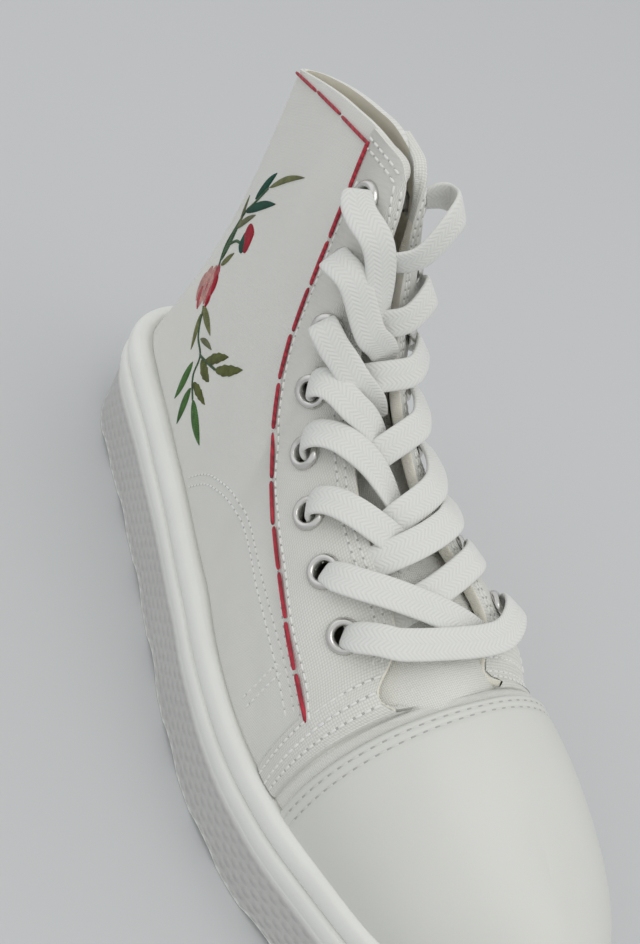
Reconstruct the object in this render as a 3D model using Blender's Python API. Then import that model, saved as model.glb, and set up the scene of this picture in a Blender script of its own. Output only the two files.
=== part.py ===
"""High-top platform sneaker for the right foot, as an assembly of its sewn and moulded pieces.

The shoe stands on its sole with +X towards the toe, +Y towards the inner (medial) side and +Z up.
The origin is on the floor, under the middle of the sole. Sizes are in metres.

The last is a ring of ribs. A rib starts at the feather line, where the upper meets the sole, and
climbs to the top line: the collar, the edge of the throat, or the ridge of the vamp and toe.
Every piece of the shoe is worked out from these ribs.
"""

import math
from collections import namedtuple

import bmesh
import bpy
import numpy as np
from mathutils import Vector

MM = 0.001

# The table of ribs is drawn for a sole of 305 mm and made up in a smaller shoe size.
LAST = 0.93 * MM

# Sole, measured upwards from the floor
TREAD_HEIGHT = 5.0 * MM
PLATFORM_HEIGHT = 29.0 * MM
WELT_RISE = 9.0 * MM
HEEL_WEDGE = 5.0 * MM
HEEL_WEDGE_END = 120.0 * MM
TOE_SPRING = 7.0 * MM
TOE_SPRING_START = 212.0 * MM
TOE_SPRING_END = 264.0 * MM
SCALLOP_PITCH = 30.5 * MM
SCALLOP_WIDTH = 18.0 * MM
SCALLOP_DEPTH = 2.2 * MM
SCALLOP_FIRST = -3.0 * MM
SCALLOP_COUNT = 8

# Thicknesses and clearances
WALL = 1.6 * MM
CAP_THICKNESS = 1.2 * MM
EYESTAY_THICKNESS = 0.9 * MM
TONGUE_THICKNESS = 1.6 * MM
INSOLE_THICKNESS = 4.0 * MM
GAP = 0.35 * MM
SEAT_GAP = 0.5 * MM

# Eyestays and eyelets
EYESTAY_LIFT = 0.55 * MM
EYELET_COUNT = 8
EYELET_PITCH = 17.3 * MM
EYELET_FIRST = 12.5 * MM
EYELET_FLANGE = 4.9 * MM
EYELET_BARREL = 3.3 * MM
EYELET_BORE = 2.6 * MM
EYELET_SEAT = 0.8 * MM
EYELET_RISE = 1.7 * MM
EYELET_DEPTH = 0.6 * MM
EYELET_SIDES = 8

# Tongue and lace
TONGUE_CLEARANCE = 1.8 * MM
TONGUE_ARCH = 9.0 * MM
TONGUE_TUCK = 12.0 * MM
TONGUE_LENGTH = 104.0 * MM
LACE_WIDTH = 8.8 * MM
LACE_THICKNESS = 1.5 * MM
LACE_DROP = 7.5 * MM
LACE_LIFT = 3.8 * MM
LACE_LIFT_AT_EYELET = 5.8 * MM
LACE_OVERLAP = 0.9 * MM
LACE_STATIONS = 9

# Mesh fineness
SPAN_STEPS = 2
RIB_STEPS = 9

# One row for each rib of the last, from the back of the heel to the tip of the toe.
# foot_x, lateral, medial: the feather line. margin: how far the foot of the sole stands out from it.
# top_x, centre, half, top_z: where the rib ends, as a centre line and half a width.
# turn: degrees that the rib turns over on its way up. square: how boxy it is. swell: its outward belly.
Rib = namedtuple("Rib", "name foot_x lateral medial margin top_x centre half top_z turn square swell")
RIBS = (
    Rib("heel_back", 0.0, 0.0, 0.0, 9.0, 18.5, 8.0, 0.0, 162.0, 40, 1.1, -5.0),
    Rib("heel_corner", 2.0, 10.5, 11.0, 9.5, 20.0, 8.0, 2.0, 162.5, 40, 1.1, -6.0),
    Rib("heel_side", 9.0, 18.5, 19.5, 9.8, 26.0, 7.5, 3.4, 165.0, 40, 1.1, -7.0),
    Rib("counter", 25.0, 23.3, 24.5, 9.6, 38.0, 6.2, 4.3, 169.5, 40, 1.1, -6.0),
    Rib("counter_end", 48.0, 25.5, 26.5, 9.5, 53.0, 4.5, 4.6, 174.5, 42, 1.2, -4.5),
    Rib("ankle", 74.0, 28.0, 26.0, 10.0, 70.0, 2.6, 4.6, 179.0, 46, 1.4, -3.0),
    Rib("shank", 98.0, 31.0, 26.0, 10.0, 85.0, 1.0, 4.2, 182.0, 46, 1.4, -2.0),
    Rib("collar_front", 112.0, 33.2, 27.5, 10.0, 97.0, 0.2, 3.2, 182.5, 46, 1.35, -1.5),
    Rib("throat_top", 120.0, 34.4, 28.5, 10.0, 103.5, 0.0, 2.3, 179.5, 46, 1.35, -1.5),
    Rib("shin_high", 127.0, 35.5, 30.0, 9.8, 108.0, 0.0, 3.0, 159.0, 46, 1.35, -1.5),
    Rib("shin", 135.0, 37.0, 31.5, 9.6, 115.0, 0.0, 4.6, 137.0, 48, 1.45, -1.0),
    Rib("instep_bend", 144.0, 38.8, 33.5, 9.4, 126.0, -0.5, 7.0, 120.0, 54, 1.65, -0.5),
    Rib("instep", 155.0, 40.5, 36.5, 9.0, 141.0, -1.0, 9.0, 108.0, 63, 1.9, 0.0),
    Rib("waist_top", 174.0, 42.5, 41.5, 8.4, 168.0, -0.3, 12.0, 97.5, 71, 2.1, 0.0),
    Rib("throat_corner", 193.0, 42.3, 45.5, 8.0, 193.0, 1.5, 16.0, 84.5, 77, 2.2, 0.0),
    Rib("throat_end", 202.0, 41.2, 46.3, 7.8, 203.0, 5.0, 0.0, 85.0, 88, 2.2, 0.0),
    Rib("cap_seam", 210.0, 39.8, 46.8, 7.8, 209.0, 7.5, 0.0, 83.0, 88, 2.2, 0.0),
    Rib("toe_box", 231.0, 33.8, 46.0, 7.6, 224.0, 9.5, 0.0, 79.0, 86, 2.2, 0.5),
    Rib("toe_side", 252.0, 27.0, 41.8, 7.4, 238.0, 10.5, 0.0, 74.5, 80, 2.2, 0.8),
    Rib("toe_corner", 270.0, 15.5, 33.0, 7.2, 247.0, 10.8, 0.0, 71.0, 74, 2.2, 1.0),
    Rib("toe_front", 281.0, 3.5, 21.5, 7.0, 252.0, 10.5, 0.0, 69.3, 70, 2.2, 1.0),
    Rib("toe_tip", 284.5, -9.0, 9.0, 7.0, 254.5, 10.0, 0.0, 68.6, 68, 2.2, 1.0),
)
ROW = {rib.name: index for index, rib in enumerate(RIBS)}

# Side of the platform: share of its height, and share of the margin that it has drawn in.
PlatformStep = namedtuple("PlatformStep", "share inset")
PLATFORM_STEPS = (
    PlatformStep(0.00, 0.10),
    PlatformStep(0.34, 0.22),
    PlatformStep(0.70, 0.38),
    PlatformStep(0.76, 0.30),
    PlatformStep(0.88, 0.28),
    PlatformStep(0.97, 0.36),
    PlatformStep(1.00, 0.52),
)

# Outside of the welt: share of its height, and share of the margin that it has drawn in.
WeltStep = namedtuple("WeltStep", "share inset")
WELT_STEPS = (
    WeltStep(0.00, 0.56),
    WeltStep(0.18, 0.44),
    WeltStep(0.50, 0.42),
    WeltStep(0.82, 0.54),
    WeltStep(1.00, 0.78),
)

# Distances from the throat's edge, in millimetres: the line of the eyelets and the eyestay's rear line.
ThroatBand = namedtuple("ThroatBand", "rib eyelet eyestay")
THROAT_BANDS = (
    ThroatBand("throat_top", 8.8, 15.0),
    ThroatBand("shin_high", 11.0, 17.0),
    ThroatBand("shin", 13.0, 19.5),
    ThroatBand("instep", 13.2, 22.5),
    ThroatBand("throat_corner", 11.8, 21.5),
)


# The last: ribs read as smooth curves round the shoe


def knots():
    """Places of the table's rows round the shoe: 0 at the heel, 0.5 at the toe tip."""
    steps = [0.0]
    for a, b in zip(RIBS, RIBS[1:]):
        lateral = math.hypot(b.foot_x - a.foot_x, b.lateral - a.lateral)
        medial = math.hypot(b.foot_x - a.foot_x, b.medial - a.medial)
        steps.append(steps[-1] + (lateral + medial) / 2)
    return np.array(steps) / steps[-1] / 2


KNOTS = knots()
TURN_KNOTS = np.concatenate([KNOTS, 1 - KNOTS[-2:0:-1]])
TURN_SPANS = np.diff(np.append(TURN_KNOTS, 1.0))


def smooth_curve(values, places):
    """Periodic cubic spline through a value for each knot of the whole turn."""
    count = len(values)
    slopes = (np.roll(values, -1) - values) / TURN_SPANS
    system = np.zeros((count, count))
    target = np.zeros(count)
    for i in range(count):
        before = i - 1
        system[i, before] = TURN_SPANS[i]
        system[i, i] = 2 * (TURN_SPANS[before] + TURN_SPANS[i])
        system[i, (i + 1) % count] = TURN_SPANS[before]
        target[i] = 3 * (TURN_SPANS[i] * slopes[before] + TURN_SPANS[before] * slopes[i])
    return cubic_pieces(values, np.linalg.solve(system, target), places)


def steady_curve(values, places):
    """Like smooth_curve, but it never swings past the values: for the corners of the top line."""
    after = (np.roll(values, -1) - values) / TURN_SPANS
    before = np.roll(after, 1)
    span_before = np.roll(TURN_SPANS, 1)
    tangent = (TURN_SPANS * before + span_before * after) / (TURN_SPANS + span_before)
    limit = 3 * np.minimum(np.abs(before), np.abs(after))
    tangent = np.where(before * after > 0, np.clip(tangent, -limit, limit), 0.0)
    return cubic_pieces(values, tangent, places)


def cubic_pieces(values, tangents, places):
    """Cubic pieces between the knots, with the given tangents."""
    places = np.mod(places, 1.0)
    left = np.searchsorted(TURN_KNOTS, places, side="right") - 1
    right = (left + 1) % len(TURN_KNOTS)
    span = TURN_SPANS[left]
    t = (places - TURN_KNOTS[left]) / span
    return (
        values[left] * (1 + 2 * t) * (1 - t) ** 2
        + tangents[left] * span * t * (1 - t) ** 2
        + values[right] * t * t * (3 - 2 * t)
        + tangents[right] * span * t * t * (t - 1)
    )


def column(name, medial_name=None):
    """A column of the table for the whole turn, lateral side first."""
    there = [getattr(rib, name) for rib in RIBS]
    back = [getattr(rib, medial_name or name) for rib in RIBS[-2:0:-1]]
    if medial_name:
        there = [-value for value in there]
    return np.array(there + back, float)


def feather(places):
    """Feather line: points on the floor plan, and outward normals."""

    def read(where):
        x = smooth_curve(column("foot_x"), where)
        y = smooth_curve(column("lateral", "medial"), where)
        return np.stack([x, y], axis=-1) * LAST

    step = 1e-4
    tangent = read(places + step) - read(places - step)
    tangent /= np.linalg.norm(tangent, axis=-1, keepdims=True)
    outward = np.stack([tangent[:, 1], -tangent[:, 0]], axis=-1)
    return read(places), outward


def toe_rise(x):
    """How far the sole has lifted off the floor at x."""
    ahead = np.clip((x - TOE_SPRING_START) / (TOE_SPRING_END - TOE_SPRING_START), 0, 1.2)
    return TOE_SPRING * ahead**2


def deck(x):
    """Height of the platform's top at x: it is thicker towards the heel and lifts at the toe."""
    behind = np.clip(1 - x / HEEL_WEDGE_END, 0, 1)
    wedge = HEEL_WEDGE * behind**2 * (3 - 2 * behind)
    return PLATFORM_HEIGHT + wedge + toe_rise(x)


def top_line(places):
    """Where the ribs end: collar, throat edge and ridge."""
    x = steady_curve(column("top_x"), places)
    z = steady_curve(column("top_z"), places)
    centre = smooth_curve(column("centre"), places)
    half = steady_curve(column("half"), places)
    side = np.where(np.mod(places, 1.0) < 0.5, -1.0, 1.0)
    return np.stack([x, centre + side * half, z], axis=-1) * LAST


def rib_points(places, climbs):
    """Outer surface of the upper: places round the shoe by climbs up the ribs, from 0 to 1."""
    foot, outward = feather(places)
    top = top_line(places)
    turn = np.radians(steady_curve(column("turn"), places))[:, None]
    power = 2 / steady_curve(column("square"), places)[:, None]
    swell = steady_curve(column("swell"), places)[:, None] * LAST
    seat = (deck(foot[:, 0]) + SEAT_GAP)[:, None]
    angle = turn * climbs
    inward = (1 - np.cos(angle) ** power) / (1 - np.cos(turn) ** power)
    upward = np.sin(angle) ** power / np.sin(turn) ** power
    belly = swell * np.sin(np.pi * np.minimum(upward, 1.0))
    x = foot[:, :1] + (top[:, :1] - foot[:, :1]) * inward + outward[:, :1] * belly
    y = foot[:, 1:] + (top[:, 1:2] - foot[:, 1:]) * inward + outward[:, 1:] * belly
    z = seat + (top[:, 2:] - seat) * upward
    return np.stack([x, y, z], axis=-1)


def rib_normals(places, climbs):
    """Outward normals of the upper's outer surface, shared by both sides along the ridge."""
    normal = side_normals(places, climbs)
    on_ridge = np.minimum(np.mod(places, 1.0), np.mod(1 - places, 1.0)) >= KNOTS[ROW["throat_end"]]
    shared = (on_ridge[:, None] & (climbs >= 1.0))[..., None]
    normal = np.where(shared, normal + side_normals(1 - places, climbs), normal)
    return normal / np.maximum(np.linalg.norm(normal, axis=-1, keepdims=True), 1e-12)


def side_normals(places, climbs):
    """Outward normals of one side on its own, read just below the top line where ribs may meet."""
    step = 2e-4
    climbs = np.minimum(climbs, 0.985)
    low = np.clip(climbs - step, 0, 1)
    high = np.clip(climbs + step, 0, 1)
    along = rib_points(places + step, climbs) - rib_points(places - step, climbs)
    up = rib_points(places, high) - rib_points(places, low)
    normal = np.cross(along, up)
    return normal / np.maximum(np.linalg.norm(normal, axis=-1, keepdims=True), 1e-12)


def lifted(places, climbs, lift):
    """The upper's outer surface, moved outwards by lift."""
    return rib_points(places, climbs) + rib_normals(places, climbs) * lift


def climb_above_deck(places, height):
    """Climb at which each rib is at a height above the platform."""
    foot, _ = feather(places)
    turn = np.radians(steady_curve(column("turn"), places))
    power = 2 / steady_curve(column("square"), places)
    share = (height - SEAT_GAP) / (top_line(places)[:, 2] - deck(foot[:, 0]) - SEAT_GAP)
    sine = (np.clip(share, 0, 1) * np.sin(turn) ** power) ** (1 / power)
    return np.arcsin(sine) / turn


def steps_between(first, last, steps=SPAN_STEPS):
    """Places from one named rib to another on the lateral side, with each span of the table divided."""
    rows = range(ROW[first], ROW[last])
    found = [np.linspace(KNOTS[r], KNOTS[r + 1], steps, endpoint=False) for r in rows]
    return np.concatenate(found + [[KNOTS[ROW[last]]]])


def sole_edge(places, inset):
    """Outline of the sole on the floor plan. Inset is the share of the margin that it has drawn in."""
    foot, outward = feather(places)
    margin = steady_curve(column("margin"), places)[:, None] * LAST
    return foot + outward * margin * (1 - inset)


HALF_RING = steps_between("heel_back", "toe_tip")
STRAIGHT_SIDE = steps_between("counter_end", "throat_corner", steps=1)
HALF_SOLE = np.concatenate(
    [
        steps_between("heel_back", "counter_end"),
        STRAIGHT_SIDE[1:-1],
        steps_between("throat_corner", "toe_tip"),
    ]
)
RING = np.concatenate([HALF_SOLE, 1 - HALF_SOLE[-2:0:-1]])
GROUND_EDGE = sole_edge(RING, 0.0)
MIDDLE = Vector((*((GROUND_EDGE.min(axis=0) + GROUND_EDGE.max(axis=0)) / 2), 0.0))


# Mesh helpers


def material(name, colour, roughness, metallic=0.0):
    """Plain surface with the piece's own colour."""
    made = bpy.data.materials.new(name)
    made.use_nodes = True
    shader = made.node_tree.nodes["Principled BSDF"]
    shader.inputs["Base Color"].default_value = (*colour, 1.0)
    shader.inputs["Roughness"].default_value = roughness
    shader.inputs["Metallic"].default_value = metallic
    return made


def add_piece(name, points, faces, finish, weld=1e-6):
    """Object from points in the last's own frame, moved so that the origin is under the sole's middle."""
    mesh = bpy.data.meshes.new(name)
    mesh.from_pydata([Vector(p) - MIDDLE for p in points], [], faces)
    edit = bmesh.new()
    edit.from_mesh(mesh)
    bmesh.ops.remove_doubles(edit, verts=edit.verts, dist=weld)
    edit.to_mesh(mesh)
    edit.free()
    mesh.shade_smooth()
    mesh.set_sharp_from_angle(angle=math.radians(40))
    mesh.materials.append(finish)
    piece = bpy.data.objects.new(name, mesh)
    bpy.context.scene.collection.objects.link(piece)
    return piece


def face_outwards(piece):
    """Turns the faces of closed shells outwards."""
    edit = bmesh.new()
    edit.from_mesh(piece.data)
    bmesh.ops.recalc_face_normals(edit, faces=edit.faces)
    edit.to_mesh(piece.data)
    edit.free()


def grid_faces(columns, rows, start=0, flip=False):
    """Faces of a grid of points that is stored column by column."""
    faces = []
    for c in range(columns - 1):
        for r in range(rows - 1):
            a = start + c * rows + r
            face = (a, a + rows, a + rows + 1, a + 1)
            faces.append(face[::-1] if flip else face)
    return faces


def tube_faces(levels, count, closed):
    """Faces between rings of equal length. A closed tube joins its last ring to its first."""
    faces = []
    for level in range(levels if closed else levels - 1):
        above = (level + 1) % levels
        for i in range(count):
            j = (i + 1) % count
            faces.append((level * count + i, level * count + j, above * count + j, above * count + i))
    return faces


def ladder(start, count, flip):
    """Faces across a ring of the sole, from each rib's lateral side to its medial side."""
    half = count // 2
    faces = [(start, start + 1, start + count - 1)]
    for i in range(1, half - 1):
        faces.append((start + i, start + i + 1, start + count - i - 1, start + count - i))
    faces.append((start + half - 1, start + half, start + half + 1))
    return [face[::-1] for face in faces] if flip else faces


def ring_body(name, rings, finish):
    """Closed body through rings of the sole, with ladders across its bottom and top."""
    count = len(rings[0])
    faces = tube_faces(len(rings), count, closed=False)
    faces += ladder(0, count, flip=True)
    faces += ladder((len(rings) - 1) * count, count, flip=False)
    return add_piece(name, np.concatenate(rings), faces, finish)


def thicken(piece, thickness, outwards):
    """Gives a sheet its wall, to the outside or to the inside of the drawn surface."""
    wall = piece.modifiers.new("wall", "SOLIDIFY")
    wall.thickness = thickness
    wall.offset = 1.0 if outwards else -1.0


def cut(piece, helper, operation="DIFFERENCE"):
    """Takes a hidden helper out of a piece."""
    helper.hide_render = True
    helper.display_type = "WIRE"
    boolean = piece.modifiers.new(operation.lower(), "BOOLEAN")
    boolean.operation = operation
    boolean.solver = "EXACT"
    boolean.object = helper


def join(piece, helper):
    """Joins a hidden helper to a piece as one body."""
    cut(piece, helper, operation="UNION")


# Sole


def make_outsole(finish):
    """Tread with shallow scallops across its ground face, between flat pads."""
    rings = []
    for inset, height in ((0.12, 0.0), (0.0, 1.0 * MM), (0.0, TREAD_HEIGHT)):
        plan = sole_edge(RING, inset)
        rings.append(np.column_stack([plan, height + toe_rise(plan[:, 0])]))
    outsole = ring_body("outsole", rings, finish)
    cut(outsole, scallop_cutter(finish))


def scallop_cutter(finish):
    """A row of wide bars across the sole, each cutting one shallow scallop."""
    radius = SCALLOP_WIDTH**2 / (8 * SCALLOP_DEPTH) + SCALLOP_DEPTH / 2
    reach = 0.08
    sides = 40
    points = []
    faces = []
    for bar in range(SCALLOP_COUNT):
        x = SCALLOP_FIRST + bar * SCALLOP_PITCH
        z = SCALLOP_DEPTH - radius + float(toe_rise(x))
        start = len(points)
        for y in (-reach, reach):
            for i in range(sides):
                angle = 2 * math.pi * i / sides
                points.append((x + radius * math.cos(angle), y, z + radius * math.sin(angle)))
        near = list(range(start, start + sides))
        far = list(range(start + sides, start + 2 * sides))
        faces += [near, far[::-1]]
        faces += [(near[i], far[i], far[(i + 1) % sides], near[(i + 1) % sides]) for i in range(sides)]
    cutter = add_piece("scallop_cutter", points, faces, finish)
    face_outwards(cutter)
    return cutter


def make_midsole(finish):
    """Platform block that draws in upwards, with a rounded bead along its top edge."""
    rings = []
    for step in PLATFORM_STEPS:
        plan = sole_edge(RING, step.inset)
        low = TREAD_HEIGHT + GAP + toe_rise(plan[:, 0])
        rings.append(np.column_stack([plan, low + (deck(plan[:, 0]) - low) * step.share]))
    ring_body("midsole", rings, finish)


def make_welt(finish):
    """Rounded strip round the upper, on top of the platform."""
    rings = []
    for step in WELT_STEPS:
        rings.append(welt_ring(sole_edge(RING, step.inset), step.share))
    for share in (1.0, 0.5, 0.0):
        climbs = climb_above_deck(RING, GAP + (WELT_RISE - GAP) * share)
        plan = lifted(RING, climbs[:, None], GAP)[:, 0, :2]
        rings.append(welt_ring(plan, share))
    faces = tube_faces(len(rings), len(RING), closed=True)
    add_piece("welt", np.concatenate(rings), faces, finish)


def welt_ring(plan, share):
    """Ring of the welt at a share of its height above the platform."""
    return np.column_stack([plan, deck(plan[:, 0]) + GAP + (WELT_RISE - GAP) * share])


def make_insole(finish):
    """Footbed inside the upper's wall."""
    rings = []
    for height in (GAP, GAP + INSOLE_THICKNESS):
        climbs = climb_above_deck(RING, height)
        plan = lifted(RING, climbs[:, None], -(WALL + 3 * GAP))[:, 0, :2]
        rings.append(np.column_stack([plan, deck(plan[:, 0]) + height]))
    ring_body("insole", rings, finish)


# Upper and its overlays


def sheet(name, places, climbs, lift, finish):
    """Sheet over the given ribs of both sides, welded at heel, toe and ridge."""
    points = []
    faces = []
    for side_places, mirrored in ((places, False), (1 - places, True)):
        grid = lifted(side_places, climbs, lift)
        faces += grid_faces(len(places), climbs.shape[1], len(points), flip=mirrored)
        points += list(grid.reshape(-1, 3))
    return add_piece(name, points, faces, finish, weld=0.1 * MM)


def make_upper(finish, holes):
    """Canvas shell with vamp, quarters and shaft in one wall."""
    climbs = np.linspace(0, 1, RIB_STEPS + 1)[None, :] ** 0.8
    upper = sheet("upper", HALF_RING, climbs, 0.0, finish)
    thicken(upper, WALL, outwards=False)
    cut(upper, holes)


def make_toe_cap(finish):
    """Smooth overlay from the cap seam to the toe tip, down to the welt."""
    places = steps_between("cap_seam", "toe_tip")
    low = climb_above_deck(places, WELT_RISE + 2 * GAP)[:, None]
    climbs = low + (1 - low) * np.linspace(0, 1, RIB_STEPS)[None, :]
    cap = sheet("toe_cap", places, climbs, GAP, finish)
    thicken(cap, CAP_THICKNESS, outwards=True)


# Throat: lines at a distance from its edge, which eyestays, eyelets, tongue and lace follow

EDGE_PLACES = np.linspace(KNOTS[ROW["throat_top"]], KNOTS[ROW["throat_corner"]], 121)
THROAT_PLACES = np.linspace(KNOTS[ROW["shank"]], KNOTS[ROW["throat_corner"]], 121)


def climb_off_edge(places, band):
    """Climb on each rib at the band's distance from the throat's edge, or 1 where the whole rib is farther."""
    edge = top_line(EDGE_PLACES)
    climbs = np.linspace(1.0, 0.2, 321)
    points = rib_points(places, climbs[None, :])
    rows = [KNOTS[ROW[row.rib]] for row in THROAT_BANDS]
    distances = np.interp(places, rows, [getattr(row, band) * MM for row in THROAT_BANDS])
    found = np.ones(len(places))
    for i, rib in enumerate(points):
        away = np.linalg.norm(rib[:, None] - edge[None], axis=-1).min(axis=1)
        found[i] = climbs[np.nonzero(away >= distances[i])[0][0]]
    return found


def eyelet_line():
    """Line of the eyelets up the throat: places, climbs, and length from the throat's corner."""
    places = THROAT_PLACES[::-1]
    climbs = climb_off_edge(places, "eyelet")
    places = places[climbs < 1.0]
    climbs = climbs[climbs < 1.0]
    points = rib_points(places, climbs[:, None])[:, 0]
    steps = np.linalg.norm(np.diff(points, axis=0), axis=1)
    return places, climbs, np.concatenate([[0.0], np.cumsum(steps)])


LINE_PLACES, LINE_CLIMBS, LINE_LENGTHS = eyelet_line()


def on_flap(lengths, share, medial, lift):
    """Points and normals beside the throat at lengths from its corner.

    Share is 0 on the eyelet line and 1 on the throat's edge.
    """
    places = np.interp(lengths, LINE_LENGTHS, LINE_PLACES)
    climbs = np.interp(lengths, LINE_LENGTHS, LINE_CLIMBS)
    line = rib_points(places, climbs[:, None])[:, 0]
    nearest = np.linalg.norm(line[:, None] - top_line(EDGE_PLACES)[None], axis=-1).argmin(axis=1)
    places = places + (EDGE_PLACES[nearest] - places) * share
    climbs = (climbs + (1 - climbs) * share)[:, None]
    if medial:
        places = 1 - places
    normals = rib_normals(places, climbs)[:, 0]
    return rib_points(places, climbs)[:, 0] + normals * lift, normals


EYELET_LENGTHS = EYELET_FIRST + EYELET_PITCH * np.arange(EYELET_COUNT)
EYESTAY_FACE = EYESTAY_LIFT + EYESTAY_THICKNESS


def eyelet_seats(medial):
    """Centres on the eyestay's face and axes of one side's eyelets, from the bottom up."""
    return on_flap(EYELET_LENGTHS, 0.0, medial, EYESTAY_FACE)


EYELETS = {"lateral": list(zip(*eyelet_seats(False))), "medial": list(zip(*eyelet_seats(True)))}


def turned_points(centre, axis, profile):
    """Rings of points round an axis. A profile row is a radius and a height along the axis."""
    axis = Vector(axis).normalized()
    across = axis.orthogonal().normalized()
    third = axis.cross(across)
    rings = []
    for radius, height in profile:
        for i in range(EYELET_SIDES):
            angle = 2 * math.pi * i / EYELET_SIDES
            offset = across * math.cos(angle) + third * math.sin(angle)
            rings.append(Vector(centre) + axis * height + offset * radius)
    return rings


def make_eyelets(finish):
    """Rolled metal eyelets: a flange on the eyestay and a barrel through the wall."""
    inside = -(EYESTAY_FACE + WALL + EYELET_DEPTH)
    profile = (
        (EYELET_BORE, inside),
        (EYELET_BARREL, inside),
        (EYELET_BARREL, EYELET_SEAT),
        (EYELET_FLANGE, EYELET_SEAT),
        (0.5 * (EYELET_FLANGE + EYELET_BORE), EYELET_RISE),
        (EYELET_BORE, EYELET_RISE - 0.5 * MM),
    )
    faces = tube_faces(len(profile), EYELET_SIDES, closed=True)
    for side, seats in EYELETS.items():
        for number, (centre, axis) in enumerate(seats, start=1):
            points = turned_points(centre, axis, profile)
            face_outwards(add_piece(f"eyelet_{side}_{number}", points, faces, finish))


def hole_cutter(finish):
    """Bars that cut the eyelet holes through wall and eyestays."""
    points = []
    faces = []
    ends = ((EYELET_BARREL + GAP, -(EYESTAY_FACE + WALL + 1.2 * MM)), (EYELET_BARREL + GAP, 1.5 * MM))
    for seats in EYELETS.values():
        for centre, axis in seats:
            start = len(points)
            points += turned_points(centre, axis, ends)
            low = list(range(start, start + EYELET_SIDES))
            high = list(range(start + EYELET_SIDES, start + 2 * EYELET_SIDES))
            faces += [low, high]
            for i in range(EYELET_SIDES):
                j = (i + 1) % EYELET_SIDES
                faces.append((low[i], low[j], high[j], high[i]))
    cutter = add_piece("hole_cutter", points, faces, finish)
    face_outwards(cutter)
    return cutter


def make_eyestays(finish, holes):
    """Facings along the throat, from its edge to their sewn rear line."""
    ring = steps_between("shank", "throat_corner")
    places = ring[climb_off_edge(ring, "eyestay") < 0.97]
    low = climb_off_edge(places, "eyestay")[:, None]
    climbs = low + (1 - low) * np.linspace(0, 1, 5)[None, :]
    for name, side_places, mirrored in (("lateral", places, False), ("medial", 1 - places, True)):
        grid = lifted(side_places, climbs, EYESTAY_LIFT).reshape(-1, 3)
        faces = grid_faces(len(places), climbs.shape[1], flip=mirrored)
        eyestay = add_piece(f"eyestay_{name}", grid, faces, finish)
        thicken(eyestay, EYESTAY_THICKNESS, outwards=True)
        cut(eyestay, holes)


# Tongue and lace


def make_tongue(finish):
    """Tongue inside the throat: arched at its root under the vamp, flat where the shaft closes on it."""
    across = np.linspace(-1, 1, 7)[None, :, None]
    lengths = np.linspace(0, TONGUE_LENGTH, 14)
    depth = -(WALL + EYELET_DEPTH + TONGUE_CLEARANCE)
    left, left_normals = on_flap(lengths, 0.0, False, depth)
    right, right_normals = on_flap(lengths, 0.0, True, depth)
    outward = left_normals + right_normals
    outward /= np.linalg.norm(outward, axis=1, keepdims=True)
    arch = TONGUE_ARCH * (1 - lengths / TONGUE_LENGTH) ** 1.5
    sections = left[:, None] * (1 - across) / 2 + right[:, None] * (1 + across) / 2
    sections = sections + (outward * arch[:, None])[:, None] * (1 - across**2) ** 2
    middle = sections[:1].mean(axis=1, keepdims=True)
    tucked = middle + (sections[:1] - middle) * 0.7 + np.array([TONGUE_TUCK, 0.0, -0.35 * TONGUE_TUCK])
    grid = np.concatenate([tucked, sections])
    faces = grid_faces(len(grid), across.shape[1])
    tongue = add_piece("tongue", grid.reshape(-1, 3), faces, finish)
    thicken(tongue, TONGUE_THICKNESS, outwards=False)


def lace_path(number, medial, drop, end, lift):
    """Centre line and normals of a lace from an eyelet towards the other edge of the throat.

    The path runs over the eyestay until 1, across the throat until 2, and stops at end.
    """
    way = np.linspace(0, end, LACE_STATIONS)
    lengths = EYELET_LENGTHS[number - 1] - drop * way / 2
    on_eyestay = np.clip(way, 0, 1)
    lifts = lift + (LACE_LIFT_AT_EYELET - LACE_LIFT) * (1 - on_eyestay[:, None])
    near, near_normals = on_flap(lengths, on_eyestay, medial, lifts)
    far, far_normals = on_flap(lengths, 1.0, not medial, lifts)
    crossing = np.clip(way - 1, 0, 1)[:, None]
    points = near + (far - near) * crossing
    normals = near_normals + (far_normals - near_normals) * crossing
    points[1:-1] = (points[:-2] + 2 * points[1:-1] + points[2:]) / 4
    return points, normals


def lace_strip(name, points, normals, finish):
    """Flat strip of lace along a centre line."""
    along = np.gradient(points, axis=0)
    sideways = np.cross(along, normals)
    sideways /= np.linalg.norm(sideways, axis=1, keepdims=True)
    flat = np.cross(sideways, along)
    flat /= np.linalg.norm(flat, axis=1, keepdims=True)
    corners = ((-1, -1), (1, -1), (1, 1), (-1, 1))
    sections = [sideways * a * LACE_WIDTH / 2 + flat * b * LACE_THICKNESS / 2 for a, b in corners]
    grid = np.stack([points + corner for corner in sections], axis=1)
    faces = tube_faces(len(points), 4, closed=False)
    faces += [(0, 1, 2, 3), tuple(range(4 * len(points) - 4, 4 * len(points)))]
    strip = add_piece(name, grid.reshape(-1, 3), faces, finish)
    face_outwards(strip)
    return strip


def make_lace(finish):
    """A bar between the lowest eyelets and a crossing above it for each further pair."""
    half_bars = [lace_path(1, medial, 0.0, 1.5, LACE_LIFT) for medial in (False, True)]
    points, normals = (np.concatenate([a, b[-2::-1]]) for a, b in zip(*half_bars))
    lace_strip("lace_bar", points, normals, finish)
    for number in range(2, EYELET_COUNT + 1):
        over = lace_path(number, False, LACE_DROP, 1.9, LACE_LIFT + LACE_THICKNESS - LACE_OVERLAP)
        under = lace_path(number, True, LACE_DROP, 1.9, LACE_LIFT)
        crossing = lace_strip(f"lace_cross_{number}", *over, finish)
        join(crossing, lace_strip(f"lace_under_{number}", *under, finish))


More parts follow.
